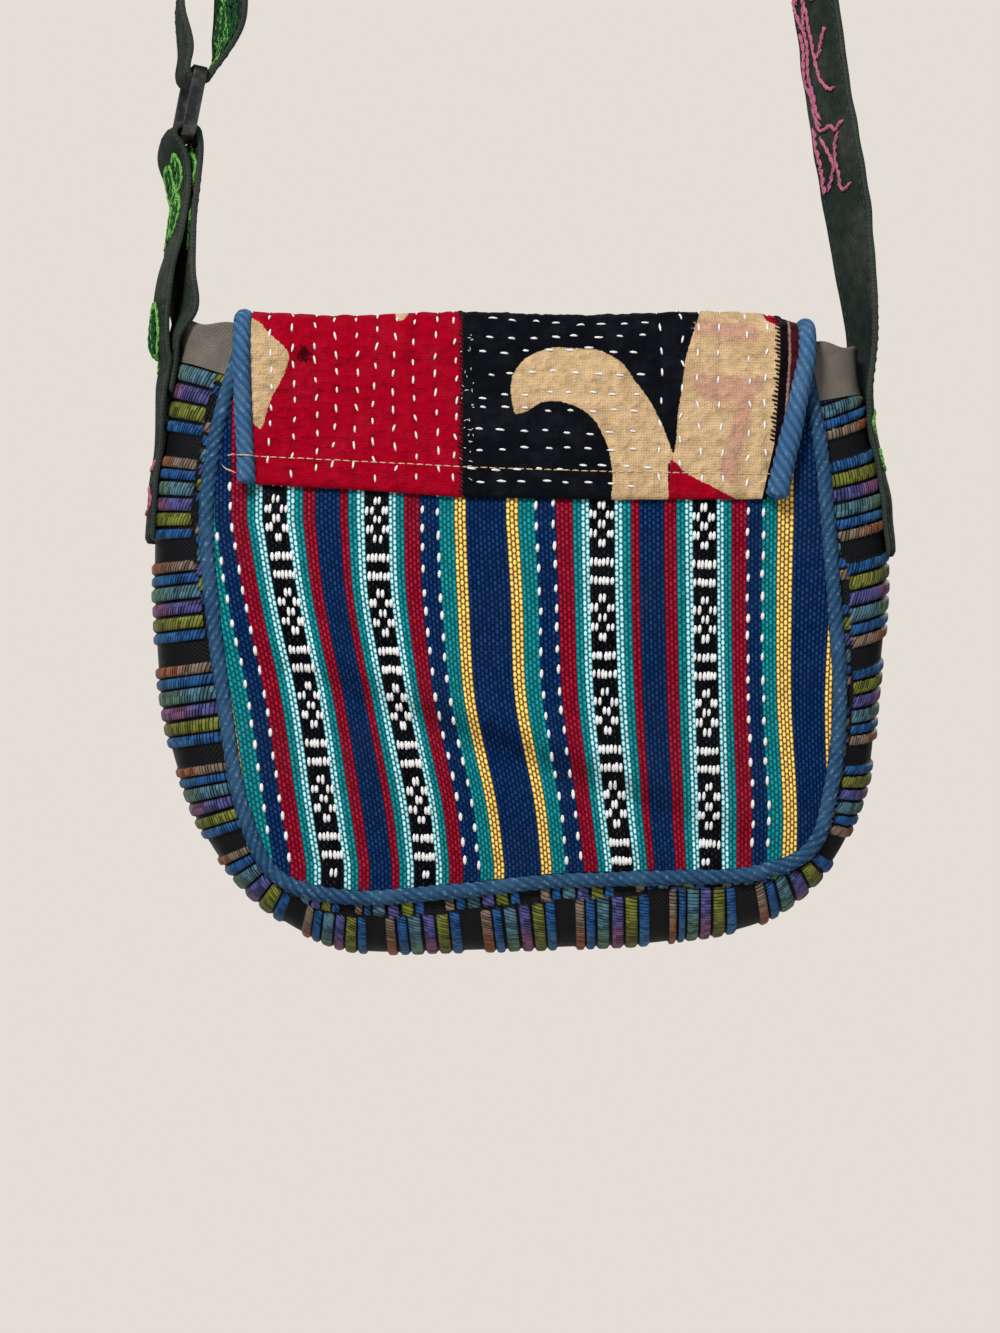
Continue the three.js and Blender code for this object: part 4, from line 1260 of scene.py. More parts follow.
FRONT_DROPS = np.linspace(FLAP_SPRING, FLAP_END_DROP, 150)[1:]
station_drop = np.concatenate([BACK_DROPS, np.full(len(ARCH_TURNS), FLAP_SPRING), FRONT_DROPS])
station_turn = np.concatenate([np.zeros(len(BACK_DROPS)), ARCH_TURNS, np.ones(len(FRONT_DROPS))])


def fold_fall(x):
    return FLAP_FALL * ease((x - FALL_FROM) / FALL_OVER)


def flap_slope(x, drop, turn):
    """How much lower a place on the back of the flap lies than on an even one."""
    lower = FLAP_SEWN_SLOPE * x + np.interp(x, *np.array(FLAP_SAG).T)
    return np.where(turn == 0, lower * (drop - FLAP_SPRING) / (FLAP_SEWN_DROP - FLAP_SPRING), 0.0)


def flap_lies(x, drop, turn, left, right):
    flat = panel_face(x, drop) + FLAP_CLEAR + QUILT_CLOTH / 2
    lifted = np.maximum(flat, FLAP_EDGE_DEPTH - FLAP_PIPING_RADIUS / 2)
    reach = flat + (lifted - flat) * ease(1 - np.minimum(x - left, right - x) / FLAP_EDGE_WIDTH)
    depth, rise = squared_arc(turn, FLAP_SQUARENESS)
    crest = FLAP_CREST + FLAP_WAVE * np.sin(x / 13) + fold_fall(x)
    return in_place(x, -reach * depth, drop - (FLAP_SPRING - crest) * rise + flap_slope(x, drop, turn))


FLAP_USUAL_HALF = 95.0
middle_line = flap_lies(
    np.zeros(len(station_drop)), station_drop, station_turn, -FLAP_USUAL_HALF, FLAP_USUAL_HALF)
station_run = run_along(middle_line)
FLAP_LENGTH = station_run[-1]
in_fold = slice(len(BACK_DROPS) - 1, len(BACK_DROPS) + len(ARCH_TURNS))
CREST_ALONG = np.interp(0.5, station_turn[in_fold], station_run[in_fold])
side_left, side_right, side_strip = np.array(FLAP_SIDES, float).T[2:]


def nearest_station(drop, turn):
    return np.argmin(np.abs(station_drop - drop) + 200 * np.abs(station_turn - turn))


side_run = np.array([station_run[nearest_station(row[0], row[1])] for row in FLAP_SIDES])


def flap_station(along):
    return np.interp(along, station_run, station_drop), np.interp(along, station_run, station_turn)


def front_along(drop):
    """The way along the flap to a drop on the folded-over side."""
    return np.interp(drop, FRONT_DROPS, station_run[-len(FRONT_DROPS):])


def flap_edges(along):
    """Left and right cut edges of the patches, and the seam of the dark strip."""
    drop, turn = flap_station(along)
    past = np.clip((drop - (FLAP_END_DROP - FLAP_CORNER)) / FLAP_CORNER, 0, 1) * (turn == 1)
    inset = FLAP_MARGIN + FLAP_CORNER * (1 - quarter_round(past))
    left = np.interp(along, side_run, side_left) + inset
    right = np.interp(along, side_run, side_right) - inset
    return left, right, np.minimum(np.interp(along, side_run, side_strip), right - STRIP_NARROWEST)


def flap_middle(x, along):
    drop, turn = flap_station(along)
    left, right, _ = flap_edges(along)
    return flap_lies(x, drop, turn, left, right)


seen_from_run = np.concatenate([station_run[station_run <= CREST_ALONG], [FLAP_LENGTH]])
seen_drops = FOLD_Z - middle_line[:, 2] - flap_slope(0.0, station_drop, station_turn)
seen_drops = seen_drops[station_run <= CREST_ALONG]
seen_drops = np.concatenate([seen_drops, [seen_drops[-1] - (FLAP_LENGTH - CREST_ALONG)]])


def print_place(x, along):
    """Drop as seen from the back, and past the fold the length behind it, counted on upwards."""
    drop, turn = flap_station(along)
    return np.interp(along, seen_from_run, seen_drops) + flap_slope(x, drop, turn)


def along_of(drop):
    """The way along the flap to a place in its print."""
    return np.interp(-np.asarray(drop), -seen_drops, seen_from_run)


def seen_at(x, drop):
    """The way along the flap to a place that is seen at x and drop."""
    lower = flap_slope(x, FLAP_SEWN_DROP, 0) / (FLAP_SEWN_DROP - FLAP_SPRING)
    return along_of(np.where(drop > FLAP_SPRING, FLAP_SPRING + (drop - FLAP_SPRING) / (1 + lower), drop))


print(f"flap: {FLAP_LENGTH:.1f} mm from sewn edge to end, fold after {CREST_ALONG:.1f} mm")

# %% Dents of the running stitch
RED_COLUMNS = picture_x([270, 293, 316, 335, 356, 375, 395, 415, 437, 455])
PRINT_ROWS = np.concatenate([picture_drop([484, 469, 450, 432, 410, 395, 374, 351, 337, 322]),
                             np.arange(-4, -190, -6.4)])
PRINT_COLUMNS = picture_x([660, 681, 699, 720, 748, 766])
ROWS_END = 43.0              # x where the rows of the dark print end and the columns of the pale one start
DENT = 0.5
DENT_WIDTH = 1.25
DRIFT = 0.7
DRIFT_LENGTH = 11


def drift(place, line):
    """How far a hand-sewn row strays to one side at a place along it."""
    return DRIFT * np.sin(place / DRIFT_LENGTH + 1.7 * line)


def dents(x, along):
    """How far the quilt's face lies above its even height."""
    def pulled(away):
        return np.exp(-(np.min(np.abs(away), axis=-1) / DENT_WIDTH) ** 2)

    def by_columns(columns):
        return pulled(x[..., None] - columns - drift(along[..., None], columns))

    columns = np.where(x < RED_SEAM, by_columns(RED_COLUMNS), by_columns(PRINT_COLUMNS))
    rows = pulled(print_place(x, along)[..., None] - PRINT_ROWS - drift(x[..., None], PRINT_ROWS))
    in_rows = ease((x - RED_SEAM) / 2) * ease((ROWS_END + 3 - x) / 6)
    pull = 0.6 + 0.4 * ripples(x, along, 5.5, 32)
    by_column = ripples(0.3 * x, along, 3.6, 34)
    by_row = ripples(x, 0.3 * along, 3.6, 35)
    small = 0.2 * (by_column * (1 - in_rows) + by_row * in_rows)
    puff = 0.26 * ripples(x, along, 12, 33)
    seam = 0.55 * np.exp(-((x - RED_SEAM) / 0.9) ** 2)
    rolled = 1 - quarter_round(1 - along / 1.4)
    return puff + small - DENT * pull * (columns * (1 - in_rows) + rows * in_rows) - seam - rolled


def flap_face(x, along):
    points, normals = with_normals(flap_middle, x, along)
    return points + normals * (QUILT_CLOTH / 2 + dents(x, along))[..., None]


# %% [markdown]
# ## The flap's print
# The shapes on the flap are a cream leaf on the red, and a large cream hook, a pale field and a red wedge on
# the black. The narrow strip beside them is black and maroon, with a thin pale line between. Each shape is
# an outline of a few points in the picture. Every point of the cloth stores how far it lies inside that
# outline, and the finish changes colour where this is zero, so the edges stay clean however coarse the grid
# is.

# %% Outlines of the print
LEAF = [(238, 318), (252, 321), (261, 326), (270, 336), (288, 353), (288, 361), (282, 380), (272, 398),
        (267, 414), (261, 430), (254, 424), (240, 420), (236, 361)]
SPOT = [(394, 309), (408, 309), (405, 318), (400, 321), (396, 318)]
HOOK = [(515, 416), (511, 396), (513, 376), (524, 360), (540, 351), (556, 347), (576, 348), (596, 349),
        (612, 356), (625, 367), (636, 383), (647, 398), (658, 418), (666, 438), (671, 456), (667, 466),
        (667, 485), (667, 510), (640, 512), (612, 510), (612, 485), (611, 466), (607, 447), (598, 427),
        (587, 414), (574, 407), (556, 402), (540, 404), (527, 412)]
PALE_FIELD = [(716, -330), (712, -60), (707, 240), (701, 313), (694, 333), (686, 358), (682, 389), (678, 412),
              (675, 445), (671, 464), (672, 490), (672, 512), (830, 512), (830, 240), (830, -60), (830, -330)]
RED_TRIANGLE = [(670, 459), (677, 466), (685, 474), (706, 485), (733, 499), (752, 512), (700, 516),
                (668, 512), (668, 490)]
RED_CORNER = [(763, 312), (768, 320), (776, 324), (790, 323), (792, 312), (780, 304), (768, 304)]
PINK_STROKES = [((704, 330), (750, 333)), ((700, 382), (756, 386)), ((706, 393), (748, 396)),
                ((745, 404), (727, 474))]
STROKE_WIDE = 3.4
STAIN = [(296, 355), (298, 350), (303, 348), (308, 350), (310, 355), (308, 360), (303, 362), (298, 360)]


def outline(points):
    """A rounded closed outline in x and print place, in mm, from points in the picture."""
    columns, rows = np.array([*points, points[0]], float).T
    return smooth_line(pairs(picture_x(columns), picture_drop(rows)), 4)[:-1]


def to_edge(x, place, start, end):
    """Distance of each point from a straight edge, in mm."""
    way = np.subtract(end, start)
    share = ((x - start[0]) * way[0] + (place - start[1]) * way[1]) / np.sum(way ** 2)
    share = np.clip(share, 0, 1)
    return np.hypot(x - start[0] - share * way[0], place - start[1] - share * way[1])


def inside_by(x, place, shape):
    """How many mm a point lies inside an outline, less than zero outside."""
    nearest = np.full(len(x), np.inf)
    crossings = np.zeros(len(x), int)
    for start, end in zip(shape, np.roll(shape, -1, axis=0)):
        nearest = np.minimum(nearest, to_edge(x, place, start, end))
        spans = (start[1] > place) != (end[1] > place)
        rise = end[1] - start[1] if end[1] != start[1] else 1e-9
        crossings += spans & (x < start[0] + (place - start[1]) * (end[0] - start[0]) / rise)
    return np.where(crossings % 2 == 1, nearest, -nearest)


def stroke_share(x, place):
    """1 on a brushed pink stroke, falling to 0 beside it."""
    nearest = np.full(len(x), np.inf)
    for ends in PINK_STROKES:
        columns, rows = np.array(ends).T
        start, end = pairs(picture_x(columns), picture_drop(rows))
        nearest = np.minimum(nearest, to_edge(x, place, start, end))
    return np.exp(-(nearest / STROKE_WIDE) ** 2)


# %% Finishes of the quilted cloths
QUILT_RED = colour(160, 2, 29)
QUILT_RED_WORN = colour(164, 16, 38)
QUILT_BLACK = colour(12, 15, 20)
QUILT_BLACK_WORN = colour(28, 31, 37)
QUILT_PITCH = 0.55
STRIP_MAROON = 3.0           # the dark strip turns maroon this far from its seam, past a thin pale line
PALE_LINE_HALF = 0.4


def printed(tree, name):
    """A mask that is 1 inside one of the stored outlines, with a slightly uneven edge."""
    uneven = calc(tree, "MULTIPLY_ADD", speckle(tree, object_place(tree), 1.1), 0.9, -0.45)
    return soft_step(tree, calc(tree, "ADD", stored(tree, name), uneven), -0.15, 0.15)


def quilt_finish(name, base, worn, inks):
    """Thin printed cotton: inks are (stored outline, colour, soiled colour)."""
    finish, tree, shader = new_finish(name, 0.92, shine=0.02)
    fade = cloth_wear(tree, 11.0)
    shown = blend(tree, times(tree, fade, 0.55), base, worn)
    for mask, ink, soiled in inks:
        inked = blend(tree, times(tree, fade, 0.7), ink, soiled)
        shown = blend(tree, printed(tree, mask), shown, inked)
    # The same crease noise that makes the relief also paints the cloth lighter on the rises and darker in the
    # hollows: painted light and shade of the creases, with some random mottling.
    creases = speckle(tree, cloth_place(tree), 3.4)
    wear_and_painted_crease_shade = scaled(tree, shown, calc(tree, "MULTIPLY_ADD", creases, 0.7, 0.65))
    weave = cloth_weave(tree, QUILT_PITCH)
    # The weave's hollows and the stitch dents are painted darker, as painted shade.
    pulled = times(tree, stored(tree, "low"), 0.3)
    low = calc(tree, "MULTIPLY_ADD", calc(tree, "SUBTRACT", 1.0, weave), 0.3, pulled)
    shown = blend(tree, low, wear_and_painted_crease_shade, colour(12, 8, 10))
    give_colour(tree, shader, shown)
    give_relief(tree, shader, calc(tree, "MULTIPLY_ADD", creases, 15.0, weave), 0.14)
    return finish


cream_ink = ("cream", colour(209, 177, 134), colour(184, 150, 112))
quilt_red = quilt_finish("quilt_red", QUILT_RED, QUILT_RED_WORN, [
    cream_ink,
    ("stain", colour(74, 4, 16), colour(58, 4, 14)),
])
quilt_print = quilt_finish("quilt_print", QUILT_BLACK, QUILT_BLACK_WORN, [
    cream_ink,
    ("pink", colour(192, 150, 124), colour(190, 142, 118)),
    ("red", QUILT_RED, colour(150, 24, 42)),
])
quilt_dark = quilt_finish("quilt_dark", colour(18, 10, 14), colour(34, 14, 18), [
    ("maroon", colour(66, 12, 22), colour(78, 30, 34)),
    ("pale_line", colour(150, 128, 114), colour(88, 62, 62)),
])

# %% The three patches
PATCH_STEP = 1.05
SEAM_GAP = 0.05              # half the gap between two patches


def make_patch(name, node, finish, slot, columns, edges, first, last):
    """A patch between two edges, each given for a way along the flap."""
    rows = round((last - first) / PATCH_STEP)

    def spots(across, down):
        along = first + (last - first) * down
        left, right = edges(along)
        return left + (right - left) * across, along

    piece, across, down = lay_cloth(name, columns, rows, lambda a, d: flap_face(*spots(a, d)))
    x, along = spots(across, down)
    set_cloth_place(piece, x, along)
    # The stored low is the depth of the stitch dents, which the finish paints darker as shade.
    store(piece, "low", np.clip(-0.1 - dents(x, along) / 0.8, 0, 1))
    place = print_place(x, along)

    def inside(*shapes):
        return np.max([inside_by(x, place, outline(shape)) for shape in shapes], axis=0)

    if slot == "quilt_red":
        store(piece, "cream", inside(LEAF, SPOT))
        store(piece, "stain", 0.12 * inside(STAIN))
    if slot == "quilt_print":
        store(piece, "cream", inside(HOOK, PALE_FIELD))
        store(piece, "red", inside(RED_TRIANGLE, RED_CORNER))
        store(piece, "pink", 0.9 * (stroke_share(x, place) - 0.5))
    if slot == "quilt_dark":
        from_line = x - edges(along)[0] - STRIP_MAROON
        store(piece, "maroon", from_line)
        store(piece, "pale_line", PALE_LINE_HALF - np.abs(from_line))
    face_away(piece)
    thicken(piece, QUILT_CLOTH)
    dress(piece, finish, slot, node)
    return piece


def red_edges(along):
    left, _, _ = flap_edges(along)
    return left, np.full_like(along, RED_SEAM - SEAM_GAP)


def print_edges(along):
    _, right, strip = flap_edges(along)
    to_corner = ease((along - front_along(STRIP_END_DROP)) / 4)
    return np.full_like(along, RED_SEAM + SEAM_GAP), strip - SEAM_GAP + (right - strip) * to_corner


def strip_edges(along):
    _, right, strip = flap_edges(along)
    return strip + SEAM_GAP, right


red_patch = make_patch("flap_red_cloth", "flap_red_patch", quilt_red, "quilt_red", 66, red_edges,
                       0.0, FLAP_LENGTH)
print_patch = make_patch("flap_print_cloth", "flap_print_patch", quilt_print, "quilt_print", 100, print_edges,
                         0.0, FLAP_LENGTH)
dark_strip = make_patch("flap_dark_cloth", "flap_dark_strip", quilt_dark, "quilt_dark", 24, strip_edges,
                        0.0, float(front_along(STRIP_END_DROP)))

# %% Piping round the flap
def flap_piping_path():
    corner_top = FLAP_END_DROP - FLAP_CORNER
    radius = FLAP_CORNER + FLAP_MARGIN

    def side(edges):
        along = np.linspace(0, float(front_along(corner_top)), 220)
        drop, turn = flap_station(along)
        x = np.interp(along, side_run, edges)
        reach = np.maximum(FLAP_EDGE_DEPTH, panel_face(x, drop) + FLAP_CLEAR + FLAP_PIPING_RADIUS)
        depth, rise = squared_arc(turn, FLAP_SQUARENESS)
        seen = drop - (FLAP_SPRING - FLAP_CREST - 1 - fold_fall(x)) * rise + flap_slope(x, drop, turn)
        return in_place(x, -reach * depth, seen)

    def lower(edge, way):
        turn = np.linspace(0, math.pi / 2, 24)[1:]
        x = edge - way * radius * (1 - np.cos(turn))
        drop = corner_top + radius * np.sin(turn)
        return in_place(x, panel_face(x, drop) + FLAP_CLEAR + FLAP_PIPING_RADIUS, drop)

    left = lower(np.interp(front_along(FLAP_END_DROP - 20), side_run, side_left), -1)
    right = lower(np.interp(front_along(FLAP_END_DROP - 20), side_run, side_right), 1)
    x = np.linspace(left[-1, 0], right[-1, 0], 40)[1:-1]
    drop = np.full_like(x, corner_top + radius)
    bottom = in_place(x, panel_face(x, drop) + FLAP_CLEAR + FLAP_PIPING_RADIUS, drop)
    return np.vstack([side(side_left), left, bottom, right[::-1], side(side_right)[::-1]])


flap_piping = lay_cord("flap_piping_cord", flap_piping_path(), FLAP_PIPING_RADIUS, 5,
                       pale_twill, "piping_twill", "flap_piping", opened=0.25)

# %% [markdown]
# ## Stitches on the flap
# White running stitches hold the quilt's layers together: columns on the red, rows on the black, and wider
# columns on the pale field. Black overcast stitches join the cloths, and a tan line sews the flap to the
# panel. A little pale lint clings to the red seam. All are real threads, because they cast small shadows.

# %% Running stitches
STITCH_LONG = 2.9
STITCH_WIDE = 0.8
STITCH_TALL = 0.55
RED_STITCH_PITCH = 6.8
ROW_STITCH_PITCH = 7.4
PALE_STITCH_PITCH = 8.6
STITCH_CLEAR = 1.6           # no stitch lies nearer than this to the flap's two ends


def stitch_row(first, last, pitch, draw):
    """Middles and lengths of the stitches along one hand-sewn row."""
    middles = np.arange(first + draw.uniform(0, pitch), last, pitch)
    return middles + draw.normal(0, 0.45, len(middles)), STITCH_LONG * draw.uniform(0.75, 1.2, len(middles))


def quilting(seed):
    """Both ends of every running stitch, as x and way along the flap."""
    draw = np.random.default_rng(seed)
    starts, ends = [], []

    def sew_columns(columns, first, pitch):
        for x in columns:
            middles, lengths = stitch_row(first, FLAP_LENGTH - 6, pitch, draw)
            lean = draw.normal(0, 0.25, len(middles))
            column = x + drift(middles, x)
            starts.append(pairs(column + lean, middles - lengths / 2))
            ends.append(pairs(column - lean, middles + lengths / 2))

    sew_columns(RED_COLUMNS, 3.0, RED_STITCH_PITCH)
    for row in PRINT_ROWS:
        middles, lengths = stitch_row(RED_SEAM + 3, ROWS_END + 1, ROW_STITCH_PITCH, draw)
        along = seen_at(middles, row + drift(middles, row)) + draw.normal(0, 0.3, len(middles))
        starts.append(pairs(middles - lengths / 2, along + 0.1))
        ends.append(pairs(middles + lengths / 2, along - 0.1))
    sew_columns(PRINT_COLUMNS, 4.0, PALE_STITCH_PITCH)
    starts, ends = np.vstack(starts), np.vstack(ends)
    left, _, strip = flap_edges(starts[:, 1])
    keep = (starts[:, 0] > left + 2.5) & (np.maximum(starts[:, 0], ends[:, 0]) < strip - 1.0)
    keep &= (starts[:, 1] > STITCH_CLEAR) & (ends[:, 1] > STITCH_CLEAR)
    keep &= ends[:, 1] < FLAP_LENGTH - STITCH_CLEAR
    return starts[keep], ends[keep]


quilt_starts, quilt_ends = quilting(41)
quilt_lines, quilt_normals = stitch_lines(flap_face, 1, quilt_starts, quilt_ends, STITCH_TALL)
flap_stitches = sew("flap_running_stitches", quilt_lines, quilt_normals, STITCH_WIDE, STITCH_TALL,
                    white_thread, "quilt_red")

# %% Overcast seams between the cloths
def overcast(name, seam_x, first, last, reach, pitch, seed):
    """Short black stitches across a seam: seam_x gives its place for a way along the flap."""
    draw = np.random.default_rng(seed)
    along = np.arange(first, last, pitch)
    middle = seam_x(along)
    starts = pairs(middle - reach * draw.uniform(0.6, 1.25, len(along)), along + pitch * 0.3)
    ends = pairs(middle + 0.5 * reach, along - pitch * 0.3)
    lines, normals = stitch_lines(flap_face, 1, starts, ends, 0.5)
    return sew(name, lines, normals, 0.8, 0.6, black_thread, "quilt_dark", sides=5)


red_overcast = overcast("flap_red_overcast", lambda along: np.full_like(along, RED_SEAM),
                        2.0, FLAP_LENGTH - 3, 1.7, 1.5, 51)
strip_overcast = overcast("flap_strip_overcast", lambda along: flap_edges(along)[2], 20.0,
                          float(front_along(STRIP_END_DROP - 4)), 1.8, 1.5, 52)

# %% Pale lint caught along the red seam
LINT_COUNT = 38


def seam_lint(seed):
    draw = np.random.default_rng(seed)
    x = RED_SEAM + draw.uniform(-0.8, 3.6, LINT_COUNT)
    middle = pairs(x, seen_at(x, draw.uniform(4, 58, LINT_COUNT)))
    turn = draw.uniform(0, math.pi, LINT_COUNT)
    aside = pairs(np.cos(turn), np.sin(turn)) * draw.uniform(0.35, 0.9, LINT_COUNT)[:, None]
    lines, normals = stitch_lines(flap_face, 1, middle - aside, middle + aside, 0.3)
    return sew("flap_seam_lint", lines, normals, 0.26, 0.26, white_thread, "quilt_print", sides=4)


red_lint = seam_lint(53)

# %% The tan line that sews the flap on
TOPSTITCH = picture_x([256, 461, 609, 768]), picture_drop([457, 468, 473, 475])
TAN_PITCH = 3.1
TAN_LONG = 2.8


def on_topstitch(x):
    return pairs(x, seen_at(x, np.interp(x, *TOPSTITCH)))


tan_middles = np.arange(TOPSTITCH[0][0], TOPSTITCH[0][-1], TAN_PITCH)
tan_lines, tan_normals = stitch_lines(flap_face, 1, on_topstitch(tan_middles - TAN_LONG / 2),
                                      on_topstitch(tan_middles + TAN_LONG / 2), 0.4)
flap_topstitch = sew("flap_topstitch", tan_lines, tan_normals, 0.42, 0.4, tan_thread, "quilt_red", sides=5)

# %% Where that line crosses the piping, and its loose end
THREAD_POINTS = 9


def over_piping(x, drop, slant):
    """A thread laid over the flap's piping, whose middle is at x."""
    angle = np.radians(np.linspace(8, 172, THREAD_POINTS))
    around = np.stack([-np.cos(angle), -np.sin(angle), np.zeros(THREAD_POINTS)], axis=-1)
    middle = in_place(x, -FLAP_EDGE_DEPTH, drop + slant * np.linspace(-1, 1, THREAD_POINTS))
    return middle + around * (FLAP_PIPING_RADIUS + 0.15), around


def loose(points):
    """A loose end of thread through a few points, and which way it faces."""
    line = smooth_line([in_place(*point) for point in points], 12)
    spots = np.linspace(0, len(line) - 1, THREAD_POINTS).astype(int)
    return line[spots], np.broadcast_to((0.0, -1.0, 0.0), (THREAD_POINTS, 3))


crossings = [
    over_piping(-94.1, 48.8, 0.2),
    over_piping(86.8, 55.2, 0.2),
    loose([(-97.4, -21.0, 48.5), (-98.4, -20.4, 48.3), (-99.6, -19.4, 48.6), (-100.4, -18.6, 48.4)]),
    loose([(-96.8, -19.4, 54.8), (-98.8, -19.2, 53.9), (-101.0, -18.6, 53.0), (-102.2, -18.2, 51.6)]),
]
crossing_lines = np.array([row[0] for row in crossings])
crossing_normals = np.array([row[1] for row in crossings])
flap_topstitch_ends = sew("flap_topstitch_ends", crossing_lines, crossing_normals, 0.45, 0.42,
                          tan_thread, "piping_twill")

# %% [markdown]
# ## Strap and tab
# The strap is one long strip of doubled cotton with turned edges. It is sewn to the right end of the ribbed
# band, goes up over the hook, down through the slider, round the ring and back to the slider. A short tab on
# the left holds the ring. A strip is given by rows of four points across it. Its closed skin goes once round
# the flat section, so the turned edges can be thicker than the middle.

# %% Rows of points across a strip
ACROSS = (-1.0, -0.4, 0.4, 1.0)
SEWN_SHARE = 0.2             # half the strap's share of the ribbed band's width
SEWN_LIFT = 2.5
OVERLAP_LIFT = 5.4
across_row = np.array(ACROSS)


def over_band(run, lift):
    """A row that lies on the ribbed band."""
    def band(run, share):
        return gusset_point(run, share, SEAM_MARGIN)

    points, normals = with_normals(band, np.full(4, run), 0.5 + across_row * SEWN_SHARE, BAND_STEPS)
    return points + normals * lift


def free_row(x, z, turn, width, curl):
    """A free row: the turn of its front edge to the right in degrees, its width and its curl."""
    angle = math.radians(turn)
    half = across_row * width / 2
    bent = curl * across_row ** 2
    return np.stack([x + half * math.sin(angle) - bent * math.cos(angle),
                     -half * math.cos(angle) - bent * math.sin(angle),
                     np.full(4, z)], axis=-1)


def metal_axes(x, z, tilt, turn):
    """Middle of a ring or slider, and its directions down, inwards and to the front."""
    tilt, turn = math.radians(tilt), math.radians(turn)
    down = np.array([-math.sin(tilt), 0, -math.cos(tilt)])
    inner = unit(np.cross((math.sin(turn), -math.cos(turn), 0), down))
    return np.array([x, 0, z]), down, inner, np.cross(down, inner)


def metal_row(axes, width, inner, down):
    middle, way_down, way_in, way_front = axes
    start = middle + way_in * inner + way_down * down
    return start + way_front * (across_row * width / 2)[:, None]


# %% The course of the strap and of the tab
RING_AXES = metal_axes(-115.4, -486.6, 11, 15)
SLIDER_AXES = metal_axes(-103.2, -372, 10.2, 4)
RING_CLOTH_WIDE = 25.0
SLIDER_CLOTH_WIDE = 26.0
BAR_FROM_MIDDLE = 11.5
BAR_BEND = [(-4.4, 0.0), (-3.1, 2.7), (0.0, 3.7), (3.1, 2.7), (4.4, 0.0)]
STRAP_ROUND_BAR = [(-4.6, -7.0), *BAR_BEND, (7.4, -6.0)]
THROUGH_SLIDER = [(3.0, -19), (3.3, -12.4), (0.2, -8.9), (-6.8, -2.8), (-6.8, 2.8), (0.2, 8.9), (3.3, 12.4),
                  (3.0, 19)]
ROUND_MIDDLE_BAR = [(9.0, 26), (6.8, 13), (5.0, 5), (3.2, -0.8), (2.2, -3.3), (0.0, -4.2), (-2.2, -3.2),
                    (-2.9, 1.0)]
STRAP_UP = [  # x, z, turn, width, curl
    (119.2, -584.6, 8, 27, 3),
    (119.8, -568, 13, 27, 3),
    (116.6, -545, 20, 28, 2),
    (112.6, -520, 26, 28, 1),
    (107.2, -489, 25, 28, 1),
    (101.0, -450, 24, 28, 0),
    (87.0, -350, 19, 28, 0),
    (71.3, -238, 12, 28, 0),
    (57.0, -135, 5, 28, 0),
    (46.5, -62, 0, 28, 0),
    (37.0, -23, 0, 28, 0),
    (20.0, -4.4, 0, 28, 0),
    (0.0, 1.2, 0, 28, 0),
    (-20.0, -4.4, 0, 28, 0),
    (-37.0, -23, 0, 28, 0),
    (-46.5, -62, 0, 28, 0),
    (-60.5, -140, 0, 28, 0),
    (-80.5, -250, 2, 28, 0),
    (-95.5, -333, 4, 27, 0),
]
STRAP_TO_RING = [(-115.0, -428, 8, 28, 0), (-118.0, -455, 10, 27, 0)]
STRAP_FROM_RING = [(-101.8, -461, 26, 27, 0), (-100.4, -446, 28, 28, 0), (-99.4, -428, 24, 28, 0)]
TAB_UP = [
    (-127.0, -572, 14, 27, -3),
    (-127.0, -558, 14, 27, -3),
    (-124.6, -545, 14, 27, -2),
    (-120.8, -531, 16, 26, -1),
    (-119.2, -516, 21, 24, -1),
    (-120.8, -504, 29, 24, 0),
]
TAB_DOWN = [
    (-115.8, -504, 29, 24, 0),
    (-114.4, -516, 21, 24, 1),
    (-115.6, -531, 20, 25, 1),
    (-117.4, -545, 24, 26, 0),
    (-118.8, -558, 24, 27, -2),
]


def strap_rows():
    low = seam_to("right waist") - 14
    high = seam_to("right shoulder") + 5
    return [
        *(over_band(run, SEWN_LIFT) for run in np.linspace(low, high, 4)),
        *(free_row(*row) for row in STRAP_UP),
        *(metal_row(SLIDER_AXES, SLIDER_CLOTH_WIDE, *row) for row in THROUGH_SLIDER),
        *(free_row(*row) for row in STRAP_TO_RING),
        *(metal_row(RING_AXES, RING_CLOTH_WIDE, inner, past - BAR_FROM_MIDDLE)
          for inner, past in STRAP_ROUND_BAR),
        *(free_row(*row) for row in STRAP_FROM_RING),
        *(metal_row(SLIDER_AXES, SLIDER_CLOTH_WIDE, *row) for row in ROUND_MIDDLE_BAR),
    ]


def tab_rows():
    low = seam_to("left waist") + 8
    high = seam_to("left shoulder")
    return [
        *(over_band(run, SEWN_LIFT) for run in np.linspace(low, high + 14, 4)),
        over_band(high - 6, OVERLAP_LIFT),
        over_band(high - 16, OVERLAP_LIFT + 1),
        *(free_row(*row) for row in TAB_UP),
        *(metal_row(RING_AXES, RING_CLOTH_WIDE, inner, BAR_FROM_MIDDLE - past) for inner, past in BAR_BEND),
        *(free_row(*row) for row in TAB_DOWN),
        over_band(6, SEWN_LIFT + 2.5),
        over_band(14, SEWN_LIFT + 1.2),
        over_band(high - 6, SEWN_LIFT),
    ]


# %% A closed strip with turned edges
STRIP_STEP = 1.5
STRIP_COLUMNS = 44
STRIP_HALF_WIDE = 14.0
STRIP_HALF = 0.85            # half the cloth's thickness, and of its turned edges
STRIP_EDGE_HALF = 1.1
STRIP_END = 2.2              # its ends close over this length
STRIP_STEPS = (0.6, 0.03)    # small steps along and across, to find which way it faces
SEWING_STEPS = (0.4, 0.02)
CRUMPLE_SIZE = 17
STITCH_AT = 0.86             # share of the half width where the edge is sewn down


